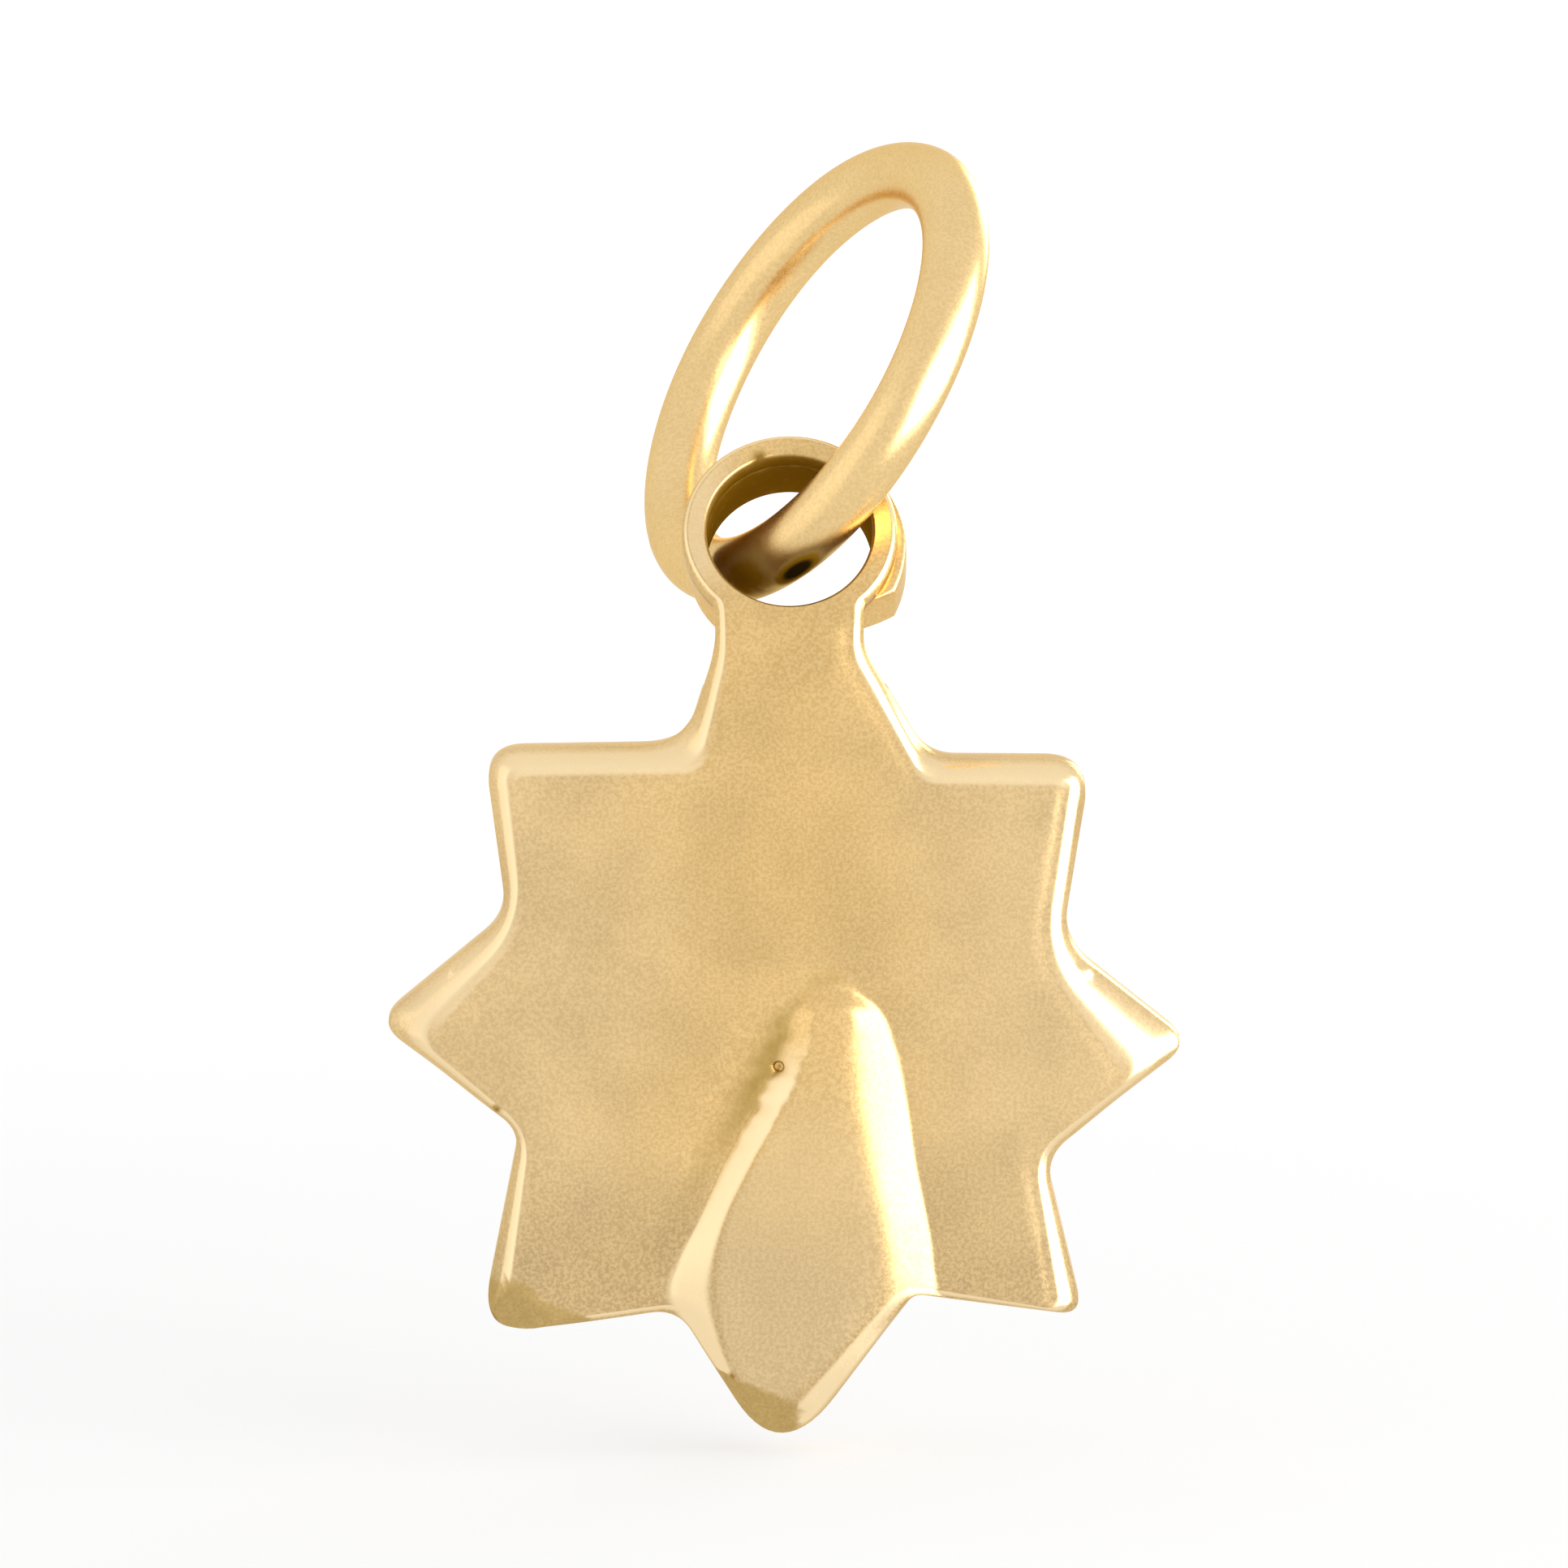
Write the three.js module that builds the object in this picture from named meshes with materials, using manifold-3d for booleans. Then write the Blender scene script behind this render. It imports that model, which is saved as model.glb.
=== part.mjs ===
// Enamel flower charm: a hollow gold star of eight petals with an eye and a jump ring.
// Millimetres. X runs across the petals, Z up towards the ring, Y from the plain back to the enamel front.
import * as THREE from 'three';
import { mergeVertices } from 'three/addons/utils/BufferGeometryUtils.js';
import Module from 'manifold-3d';

// Star outline, measured from its middle to the sharp corners before they are rounded
const petalCount = 8;
const tipReach = 6.2;
const notchReach = 4.48;
const tipRound = 0.5;
const notchRound = 0.43;
// How far the hand-finished outline strays, petal by petal, anticlockwise from the right-hand petal
const tipReachStray = [-0.07, 0.08, 0, 0.11, -0.03, 0.27, 0.4, -0.01];
const tipTurnStray = [-1, -2.6, 0, 1, -1.9, -0.5, -0.5, 1.7];
const tipRoundStray = [-0.07, 0.23, 0, 0.1, -0.03, 0.33, 0.86, -0.13];
const notchReachStray = [-0.06, 0.28, 0.2, 0.1, -0.24, -0.04, -0.11, -0.16];
const notchTurnStray = [-3.4, -4.3, -3.7, -1.2, -3.2, 1.1, 4.3, -2.3];
const notchRoundStray = [0.13, 0, 0.25, 0.01, -0.1, -0.04, -0.26, 0.03];

// Two shells, back to back
const backWall = 0.28;
const backDepth = 0.55;
const backRim = 0.45;
const bevelWidth = 0.24;
const bevelDepth = 0.28;
const shoulderWidth = 0.06;
const shoulderDepth = 0.08;
const frontFloor = 0.4;
const cellDepth = 0.4;
const frontBevel = 0.1;
const seamBevelWidth = 0.04;
const seamBevelDepth = 0.08;

// Neck, bent towards the front, and the eye lobe above it
const neckWidth = 2.24;
const neckSide = 0.07;
const neckThickness = 0.35;
const neckOverlap = 0.4;
const bendStart = 5.9;
const bendRadius = 1.2;
const bendAngle = THREE.MathUtils.degToRad(34);
const eyeRise = 1.29;
const eyeBore = 2.5;
const lobeWall = 0.38;
const lobeBevelWidth = 0.12;
const lobeBevelDepth = 0.2;
const frontNeckTop = 5.3;

// Curled collar that makes the eye deeper
const collarLength = 0.9;
const collarGap = 0.02;
const collarThinWall = 0.28;
const collarThickWall = 0.55;
const collarEnd = THREE.MathUtils.degToRad(-28);
const collarStep = THREE.MathUtils.degToRad(16);
const collarTaper = 0.6;

// Rib pressed up along the bottom petal: height over the face and a vent hole in its left flank
const ribHeight = 0.26;
const ribFootSink = 0.1;
const ventBore = 0.15;
const ventX = -0.09;
const ventZ = -0.4;
// Rib stations, downwards: Z, left foot, left crown, right crown, right foot, share of the height
const ribStations = [
  [0.78, 0.55, 0.72, 0.9, 1.1, 0.02],
  [0.5, 0.26, 0.46, 1.04, 1.42, 0.55],
  [-0.1, 0, 0.36, 1.05, 1.72, 0.8],
  [-0.95, -0.42, 0, 1.12, 1.92, 1],
  [-1.86, -0.9, -0.5, 1.3, 2.06, 1],
  [-2.76, -1.34, -0.92, 1.48, 2.24, 1],
  [-3.42, -1.7, -1.08, 1.55, 2.36, 1],
  [-3.85, -1.74, -1.12, 1.5, 1.86, 1],
  [-4.4, -1.34, -1.06, 1.2, 1.44, 1],
  [-5.3, -0.8, -0.5, 0.5, 0.8, 0.9],
  [-5.85, -0.28, -0.12, 0.16, 0.32, 0.3],
];

// Enamel cells and what fills them
const outerWall = 0.3;
const partition = 0.26;
const cellInner = 1.62;
const cellCorner = 0.12;
const enamelGap = 0.04;
const enamelEdge = 0.34;
const enamelCrown = 0.12;
const enamelSlope = 0.22;

// Centre of the flower
const discRadius = 1.32;
const discHeight = 0.2;
const discBevel = 0.08;
const granuleRadius = 0.34;
const granuleHeight = 0.42;
const granuleGap = 0.05;
const outerGranules = 6;

// Jump ring: a closed ring of round wire, leaning through the eye
const wireDiameter = 1.04;
const ringInside = 5.72;
const ringTurn = THREE.MathUtils.degToRad(24.25);
const ringDip = THREE.MathUtils.degToRad(30.89);
const threadAngle = THREE.MathUtils.degToRad(35.6);
const threadSide = -0.07;
const threadBack = -0.1;
const threadLift = 0.02;

const goldColour = 0xe2bd7a;
const paleGold = 0xe8c88a;
const enamelColour = 0xf2efe4;

const seamY = backDepth;
const floorY = seamY + frontFloor;
const rimY = floorY + cellDepth;
const step = (2 * Math.PI) / petalCount;

const gold = new THREE.MeshStandardMaterial({ color: goldColour, metalness: 1, roughness: 0.22 });
const brightGold = new THREE.MeshStandardMaterial({ color: paleGold, metalness: 1, roughness: 0.15 });
const whiteEnamel = new THREE.MeshStandardMaterial({ color: enamelColour, metalness: 0, roughness: 0.12 });

// Solids

const wasm = await Module();
wasm.setup();

function toSolid(geometry) {
  const bare = geometry.clone();
  bare.deleteAttribute('normal');
  bare.deleteAttribute('uv');
  const merged = mergeVertices(bare, 1e-5);
  const vertProperties = new Float32Array(merged.attributes.position.array);
  const triVerts = new Uint32Array(merged.index.array);
  return new wasm.Manifold(new wasm.Mesh({ numProp: 3, vertProperties, triVerts }));
}

function toGeometry(solid) {
  const mesh = solid.getMesh();
  const geometry = new THREE.BufferGeometry();
  geometry.setAttribute('position', new THREE.BufferAttribute(new Float32Array(mesh.vertProperties), 3));
  geometry.setIndex(new THREE.BufferAttribute(new Uint32Array(mesh.triVerts), 1));
  geometry.computeVertexNormals();
  return geometry;
}

// Triangles over an outline, wound the same way as the outline itself
function cap(outline) {
  const turn = Math.sign(THREE.ShapeUtils.area(outline));
  return THREE.ShapeUtils.triangulateShape(outline, []).map(([a, b, c]) => {
    const own = THREE.ShapeUtils.area([outline[a], outline[b], outline[c]]);
    return Math.sign(own) === turn ? [a, b, c] : [a, c, b];
  });
}

// A closed skin over layers with equal numbers of outline points; place sets a 2-D point in space
function loft(layers) {
  const count = layers[0].outline.length;
  const positions = layers.flatMap(({ outline, place }) => outline.flatMap((p) => place(p).toArray()));
  const faces = [];
  for (let k = 0; k < layers.length - 1; k += 1) {
    for (let i = 0; i < count; i += 1) {
      const j = (i + 1) % count;
      const [a, b] = [k * count + i, k * count + j];
      faces.push([a, b, a + count], [b, b + count, a + count]);
    }
  }
  const last = (layers.length - 1) * count;
  cap(layers[0].outline).forEach(([a, b, c]) => faces.push([a, c, b]));
  cap(layers.at(-1).outline).forEach(([a, b, c]) => faces.push([last + a, last + b, last + c]));
  const corner = (i) => new THREE.Vector3().fromArray(positions, 3 * i);
  const volume = faces.reduce((sum, [a, b, c]) => sum + corner(a).dot(corner(b).cross(corner(c))), 0);
  const outward = volume > 0 ? faces : faces.map(([a, b, c]) => [a, c, b]);
  const geometry = new THREE.BufferGeometry();
  geometry.setAttribute('position', new THREE.Float32BufferAttribute(positions, 3));
  geometry.setIndex(outward.flat());
  geometry.computeVertexNormals();
  return geometry;
}

// Outlines

const polar = (radius, angle) => new THREE.Vector2(radius * Math.cos(angle), radius * Math.sin(angle));
const level = (y) => (p) => new THREE.Vector3(p.x, y, p.y);

function petalTip(i) {
  const k = (i + petalCount) % petalCount;
  return polar(tipReach + tipReachStray[k], step * k + THREE.MathUtils.degToRad(tipTurnStray[k]));
}

function petalNotch(i) {
  const k = (i + petalCount) % petalCount;
  const turn = step * (k + 0.5) + THREE.MathUtils.degToRad(notchTurnStray[k]);
  return polar(notchReach + notchReachStray[k], turn);
}

// Moves each edge of an anticlockwise polygon inwards; insets holds one distance per edge
function insetPolygon(points, insets) {
  const edges = points.map((a, i) => {
    const along = points[(i + 1) % points.length].clone().sub(a).normalize();
    const inward = new THREE.Vector2(-along.y, along.x);
    return { start: a.clone().addScaledVector(inward, insets[i]), along };
  });
  return edges.map((edge, i) => {
    const before = edges[(i + edges.length - 1) % edges.length];
    const offset = edge.start.clone().sub(before.start);
    const reach = offset.cross(edge.along) / before.along.cross(edge.along);
    return before.start.clone().addScaledVector(before.along, reach);
  });
}

// Rounds each corner with a curve that starts its own cut length before the corner
function roundCorners(points, cuts, pieces = 4) {
  return points.flatMap((corner, i) => {
    const before = points[(i + points.length - 1) % points.length];
    const after = points[(i + 1) % points.length];
    const entry = corner.clone().lerp(before, Math.min(0.45, cuts[i] / corner.distanceTo(before)));
    const exit = corner.clone().lerp(after, Math.min(0.45, cuts[i] / corner.distanceTo(after)));
    return new THREE.QuadraticBezierCurve(entry, corner, exit).getPoints(pieces);
  });
}

// The star with its top petal cut off level at topZ, where the neck goes on
const topPetal = petalCount / 4;

function neckEdge(notch, side, topZ) {
  const neck = new THREE.Vector2(neckSide + (side * neckWidth) / 2, bendStart);
  return notch.clone().lerp(neck, (topZ - notch.y) / (bendStart - notch.y));
}

function starOutline(inset, topZ) {
  const corners = [];
  const cuts = [];
  for (let i = 0; i < petalCount; i += 1) {
    if (i === topPetal) {
      corners.push(neckEdge(petalNotch(i - 1), 1, topZ), neckEdge(petalNotch(i), -1, topZ));
      cuts.push(0.02, 0.02);
    } else {
      corners.push(petalTip(i));
      cuts.push(tipRound + tipRoundStray[i]);
    }
    corners.push(petalNotch(i));
    cuts.push(notchRound + notchRoundStray[i]);
  }
  const insets = corners.map(() => inset);
  insets[corners.findIndex((p) => p.y > topZ - 1e-6)] = 0;
  return roundCorners(insetPolygon(corners, insets), cuts);
}

const starLayer = (inset, y, topZ) => ({ outline: starOutline(inset, topZ), place: level(y) });

// Places a point of the neck or eye: x across, s along the sheet from the start of the bend, d into it
function onNeck(x, s, d) {
  const arc = bendRadius * bendAngle;
  const turned = Math.min(Math.max(s / bendRadius, 0), bendAngle);
  const straight = s < 0 ? s : Math.max(s - arc, 0);
  const depth = bendRadius - (bendRadius - d) * Math.cos(turned) + straight * Math.sin(turned);
  const rise = (bendRadius - d) * Math.sin(turned) + straight * Math.cos(turned);
  return new THREE.Vector3(neckSide + x, depth, bendStart + rise);
}

const eyeStation = bendRadius * bendAngle + eyeRise;
const eyeRadius = eyeBore / 2;
const lobeRadius = eyeRadius + lobeWall;
const onLobe = (d) => (p) => onNeck(p.x, eyeStation + p.y, d);

// Jump ring

const wireRadius = wireDiameter / 2;
const ringRadius = ringInside / 2 + wireRadius;
const eyeDepth = neckThickness + collarGap + collarLength;
const eyeMiddle = onNeck(0, eyeStation, eyeDepth / 2);
const ringAxis = new THREE.Vector3(
  Math.cos(ringDip) * Math.cos(ringTurn),
  Math.cos(ringDip) * Math.sin(ringTurn),
  -Math.sin(ringDip),
);
const ringUp = new THREE.Vector3(0, 0, 1).projectOnPlane(ringAxis).normalize();
const ringSide = new THREE.Vector3().crossVectors(ringAxis, ringUp);
const threadPoint = eyeMiddle.clone().add(new THREE.Vector3(threadSide, threadBack, threadLift));
const ringCentre = threadPoint
  .clone()
  .addScaledVector(ringUp, ringRadius * Math.cos(threadAngle))
  .addScaledVector(ringSide, -ringRadius * Math.sin(threadAngle));
const hangingPoint = ringCentre.clone().addScaledVector(ringUp, ringInside / 2);

function makeJumpRing() {
  const ring = new THREE.Mesh(new THREE.TorusGeometry(ringRadius, wireRadius, 14, 56), brightGold);
  ring.quaternion.setFromRotationMatrix(new THREE.Matrix4().makeBasis(ringSide, ringUp, ringAxis.clone().negate()));
  ring.position.copy(ringCentre);
  return ring;
}

// Back plate: star pan, rib, bent neck and eye lobe in one sheet

function makeRib() {
  return loft(ribStations.map(([z, leftFoot, leftCrown, rightCrown, rightFoot, share]) => ({
    outline: [
      new THREE.Vector2(leftFoot, ribFootSink),
      new THREE.Vector2(rightFoot, ribFootSink),
      new THREE.Vector2(rightCrown, -ribHeight * share),
      new THREE.Vector2(leftCrown, -ribHeight * share),
    ],
    place: (p) => new THREE.Vector3(p.x, p.y, z),
  })));
}

function makeNeck() {
  const half = neckWidth / 2;
  const edge = [
    [half, neckThickness],
    [half, bevelDepth],
    [half - shoulderWidth, shoulderDepth],
    [half - bevelWidth, 0],
  ];
  const right = edge.map(([x, d]) => new THREE.Vector2(x, d));
  const left = right.map((p) => new THREE.Vector2(-p.x, p.y)).reverse();
  const bendSteps = 6;
  const stations = [-neckOverlap];
  for (let i = 0; i <= bendSteps; i += 1) stations.push((i / bendSteps) * bendRadius * bendAngle);
  stations.push(eyeStation - eyeRadius + neckOverlap);
  return loft(stations.map((s) => ({ outline: [...right, ...left], place: (p) => onNeck(p.x, s, p.y) })));
}

const circle = (radius, pieces = 44) =>
  Array.from({ length: pieces }, (_, i) => polar(radius, (i * 2 * Math.PI) / pieces));

function makeLobe() {
  return loft([
    { outline: circle(lobeRadius - lobeBevelWidth), place: onLobe(0) },
    { outline: circle(lobeRadius - lobeBevelWidth / 3), place: onLobe(lobeBevelDepth / 2.5) },
    { outline: circle(lobeRadius), place: onLobe(lobeBevelDepth) },
    { outline: circle(lobeRadius), place: onLobe(neckThickness) },
  ]);
}

function makeBore(from, to) {
  return loft([
    { outline: circle(eyeRadius), place: onLobe(from) },
    { outline: circle(eyeRadius), place: onLobe(to) },
  ]);
}

function makeBackPlate() {
  const star = toSolid(loft([
    starLayer(bevelWidth, 0, bendStart),
    starLayer(shoulderWidth, shoulderDepth, bendStart),
    starLayer(0, bevelDepth, bendStart),
    starLayer(0, backDepth, bendStart),
  ]));
  const hollow = toSolid(loft([
    starLayer(backRim, backWall, notchReach),
    starLayer(backRim, backDepth + 1, notchReach),
  ]));
  const vent = new THREE.CylinderGeometry(ventBore / 2, ventBore / 2, 2 * ribHeight + 2 * backWall, 12);
  vent.translate(ventX, 0, ventZ);
  const plate = star
    .add(toSolid(makeRib()))
    .subtract(hollow)
    .subtract(toSolid(vent))
    .add(toSolid(makeNeck()))
    .add(toSolid(makeLobe()))
    .subtract(toSolid(makeBore(-1, neckThickness + 1)));
  return new THREE.Mesh(toGeometry(plate), gold);
}

// Eye collar: a strip curled round the bore, thin on the left and thick where it ends at the lower right

function makeCollar() {
  const sweep = 2 * Math.PI - collarStep;
  const pieces = 40;
  const curl = [];
  for (let i = 0; i <= pieces; i += 1) {
    const share = i / pieces;
    const wall = THREE.MathUtils.lerp(collarThickWall, collarThinWall, Math.min(1, share / collarTaper));
    curl.push(polar(eyeRadius + wall, collarEnd + share * sweep));
  }
  const body = toSolid(loft([
    { outline: curl, place: onLobe(neckThickness + collarGap) },
    { outline: curl, place: onLobe(eyeDepth) },
  ]));
  return new THREE.Mesh(toGeometry(body.subtract(toSolid(makeBore(0, eyeDepth + 1)))), gold);
}

// Front plate: a sheet with a cell sunk into each petal

function cellCorners(i) {
  const before = petalNotch(i - 1);
  const after = petalNotch(i);
  const tip = i === topPetal ? new THREE.Vector2(0, frontNeckTop) : petalTip(i);
  const inner = (notch) => notch.clone().setLength(cellInner);
  return [inner(before), before, tip, after, inner(after)];
}

function cellOutline(i, shrink) {
  const side = partition / 2 + shrink;
  const outer = outerWall + shrink;
  const corners = insetPolygon(cellCorners(i), [side, outer, outer, side, side]);
  return roundCorners(corners, corners.map(() => cellCorner), 2);
}

function makeFrontPlate() {
  let plate = toSolid(loft([
    starLayer(seamBevelWidth, seamY, frontNeckTop),
    starLayer(0, seamY + seamBevelDepth, frontNeckTop),
    starLayer(0, rimY - frontBevel, frontNeckTop),
    starLayer(frontBevel, rimY, frontNeckTop),
  ]));
  for (let i = 0; i < petalCount; i += 1) {
    const outline = cellOutline(i, 0);
    plate = plate.subtract(toSolid(loft([
      { outline, place: level(floorY) },
      { outline, place: level(rimY + 1) },
    ])));
  }
  return new THREE.Mesh(toGeometry(plate), gold);
}

function makeEnamel(i) {
  const layer = (shrink, height) => ({
    outline: cellOutline(i, enamelGap + shrink),
    place: level(floorY + height),
  });
  const dome = loft([
    layer(0, 0),
    layer(0, enamelEdge),
    layer(enamelSlope / 2, enamelEdge + (2 / 3) * enamelCrown),
    layer(enamelSlope, enamelEdge + enamelCrown),
  ]);
  return new THREE.Mesh(dome, whiteEnamel);
}

// Centre disc and granules

const discY = rimY;

function makeDisc() {
  const profile = [
    new THREE.Vector2(0, 0),
    new THREE.Vector2(discRadius, 0),
    new THREE.Vector2(discRadius, discHeight / 2),
    new THREE.Vector2(discRadius - discBevel, discHeight),
    new THREE.Vector2(0, discHeight),
  ];
  const disc = new THREE.Mesh(new THREE.LatheGeometry(profile, 40), gold);
  disc.position.set(0, discY, 0);
  return disc;
}

function makeGranule(x, z) {
  const profile = [new THREE.Vector2(0, 0)];
  for (let i = 0; i <= 5; i += 1) {
    const angle = ((i / 5) * Math.PI) / 2;
    profile.push(new THREE.Vector2(granuleRadius * Math.cos(angle), granuleHeight * Math.sin(angle)));
  }
  profile.at(-1).x = 0;
  const granule = new THREE.Mesh(new THREE.LatheGeometry(profile, 16), brightGold);
  granule.position.set(x, discY + discHeight, z);
  return granule;
}

// Assembly, with the origin where the ring hangs: inside its top

const charm = new THREE.Group();
charm.position.copy(hangingPoint).negate();

function put(name, mesh) {
  mesh.name = name;
  charm.add(mesh);
}

put('jump_ring', makeJumpRing());
put('back_plate', makeBackPlate());
put('eye_collar', makeCollar());
put('front_plate', makeFrontPlate());
for (let i = 0; i < petalCount; i += 1) put(`petal_enamel_${i + 1}`, makeEnamel(i));
put('centre_disc', makeDisc());
put('granule_0', makeGranule(0, 0));
for (let i = 0; i < outerGranules; i += 1) {
  const spot = polar(2 * granuleRadius + granuleGap, (i * 2 * Math.PI) / outerGranules);
  put(`granule_${i + 1}`, makeGranule(spot.x, spot.y));
}

const group = new THREE.Group();
group.add(charm);

export default group;
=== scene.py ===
# %% [markdown]
# # A gold flower charm, seen from its plain back
# The real object is a small hollow star of eight petals. Two thin gold shells are soldered back to back,
# the front one carries enamel in eight cells, and the back one runs on into a bent neck with a round eye.
# A closed jump ring of round wire goes through the eye. The picture shows the back, so the back plate and
# the ring get the most work, and the enamel front is made as such flowers usually are.
#
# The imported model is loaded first. It fixes where each piece goes and how the charm swings on its ring.

import math

import bmesh
import bpy
import numpy as np
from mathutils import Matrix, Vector


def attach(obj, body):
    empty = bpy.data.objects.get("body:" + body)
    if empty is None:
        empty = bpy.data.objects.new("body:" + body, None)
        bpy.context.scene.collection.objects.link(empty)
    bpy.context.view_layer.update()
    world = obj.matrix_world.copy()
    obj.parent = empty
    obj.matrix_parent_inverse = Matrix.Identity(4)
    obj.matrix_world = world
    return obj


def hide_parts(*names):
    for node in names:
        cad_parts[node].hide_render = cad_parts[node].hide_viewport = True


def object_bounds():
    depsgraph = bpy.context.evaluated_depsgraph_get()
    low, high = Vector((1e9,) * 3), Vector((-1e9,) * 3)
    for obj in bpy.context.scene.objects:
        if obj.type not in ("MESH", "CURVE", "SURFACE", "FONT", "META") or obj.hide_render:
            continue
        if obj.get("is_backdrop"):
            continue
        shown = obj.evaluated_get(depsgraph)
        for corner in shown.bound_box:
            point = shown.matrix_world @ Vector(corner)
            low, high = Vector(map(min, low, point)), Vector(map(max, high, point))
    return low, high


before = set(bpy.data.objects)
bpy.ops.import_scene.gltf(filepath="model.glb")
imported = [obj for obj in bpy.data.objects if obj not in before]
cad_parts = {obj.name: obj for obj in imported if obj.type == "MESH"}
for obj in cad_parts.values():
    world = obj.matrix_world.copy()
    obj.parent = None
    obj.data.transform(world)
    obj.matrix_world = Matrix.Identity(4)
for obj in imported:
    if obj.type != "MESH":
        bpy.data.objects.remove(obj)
cad_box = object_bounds()
scene = bpy.context.scene
MM = 0.001
print("solids", len(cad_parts), "box in mm", [round(1000 * (b - a), 2) for a, b in zip(*cad_box)])

# %% [markdown]
# ## Where the charm hangs
# The shared frame has its origin inside the top of the jump ring. The shapes below are easier to write in
# the star's own frame: the middle of the star at zero, X across the petals, Z up, and Y from the plain back
# to the enamel front. One vector, worked out from the bent neck and the leaning ring, joins the two frames.

# %% Sheet, bend and ring values, in millimetres
BEND_START, BEND_RADIUS, BEND_ANGLE = 5.9, 1.2, math.radians(34)
NECK_SIDE, NECK_THICKNESS = 0.07, 0.35
EYE_RADIUS, EYE_RISE = 1.25, 1.29
COLLAR_GAP, COLLAR_LENGTH = 0.02, 0.9
WIRE_RADIUS, RING_RADIUS = 0.52, 3.38
RING_TURN, RING_DIP, THREAD_ANGLE = math.radians(24.25), math.radians(30.89), math.radians(35.6)
THREAD_OFFSET = np.array([-0.07, -0.1, 0.02])
EYE_Z = BEND_START + BEND_RADIUS * BEND_ANGLE + EYE_RISE


def bend(x, z, d):
    """Sheet to space: flat up to the start of the bend, then round a circle, then straight on. d is depth."""
    s = z - BEND_START
    turned = np.clip(s / BEND_RADIUS, 0, BEND_ANGLE)
    straight = np.where(s < 0, s, np.maximum(s - BEND_RADIUS * BEND_ANGLE, 0))
    y = BEND_RADIUS - (BEND_RADIUS - d) * np.cos(turned) + straight * np.sin(turned)
    up = BEND_START + (BEND_RADIUS - d) * np.sin(turned) + straight * np.cos(turned)
    return np.stack(np.broadcast_arrays(x, y, up), axis=-1)


eye_depth = NECK_THICKNESS + COLLAR_GAP + COLLAR_LENGTH
eye_middle = bend(NECK_SIDE, np.array(EYE_Z), eye_depth / 2)
level = math.cos(RING_DIP)
ring_axis = np.array([level * math.cos(RING_TURN), level * math.sin(RING_TURN), -math.sin(RING_DIP)])
ring_up = np.array([0, 0, 1]) - ring_axis * ring_axis[2]
ring_up /= np.linalg.norm(ring_up)
ring_side = np.cross(ring_axis, ring_up)
ring_centre = (
    eye_middle
    + THREAD_OFFSET
    + ring_up * RING_RADIUS * math.cos(THREAD_ANGLE)
    - ring_side * RING_RADIUS * math.sin(THREAD_ANGLE)
)
hanging_point = ring_centre + ring_up * (RING_RADIUS - WIRE_RADIUS)
print("hanging point in the star's frame", hanging_point.round(3))

# %% [markdown]
# ## The camera comes first
# A charm is photographed from far away with a long lens, so near and far parts keep the same scale. The
# camera looks along +Y at the back and is 8 degrees above it. The picture is 23.7 mm wide at the object.

# %% Camera
ELEVATION = math.radians(8)
PICTURE_WIDTH, LENS, SENSOR = 23.706, 1000, 36
LOOK_AT = np.array([-0.012, 2.0, 3.622])
target = (LOOK_AT - hanging_point) * MM
away = np.array([0, -math.cos(ELEVATION), math.sin(ELEVATION)])
distance = PICTURE_WIDTH * MM * LENS / SENSOR


def add_object(name, data):
    """A new object with this data, linked to the scene."""
    made = bpy.data.objects.new(name, data)
    scene.collection.objects.link(made)
    return made


camera_data = bpy.data.cameras.new("camera")
camera_data.lens, camera_data.sensor_width = LENS, SENSOR
camera_data.clip_start, camera_data.clip_end = 0.01, 20
camera = add_object("camera", camera_data)
camera.location = target + away * distance
camera.rotation_euler = Vector(-away).to_track_quat("-Z", "Y").to_euler()
scene.camera = camera
print("camera distance in mm", round(distance / MM, 1))

# %% [markdown]
# ## A small language for shaders
# A shader is a sum of simple fields, such as a noise or a distance. Written as Python expressions they are
# easy to read, so one class wraps a socket and turns + - and * into Math nodes, and one method adds any other
# node: its type, then its settings, then what goes into its sockets.


# %% Sockets that can be added and multiplied
class Wire:
    """One output socket. Arithmetic on it adds Math nodes to its tree."""

    def __init__(self, maker, socket):
        self.maker, self.socket = maker, socket

    def math(self, operation, *others):
        return self.maker.node("Math", {"operation": operation}, dict(enumerate((self, *others))))

    def __add__(self, other):
        return self.math("ADD", other)

    __radd__ = __add__

    def __mul__(self, other):
        return self.math("MULTIPLY", other)

    __rmul__ = __mul__

    def __sub__(self, other):
        return self.math("SUBTRACT", other)

    def __rsub__(self, other):
        return self.maker.node("Math", {"operation": "SUBTRACT"}, {0: other, 1: self})

    def step(self, low, high):
        """0 below low, 1 above high, and a smooth rise between them."""
        limits = {"Value": self, "From Min": low, "From Max": high}
        return self.maker.node("MapRange", {"interpolation_type": "SMOOTHSTEP"}, limits)


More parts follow.
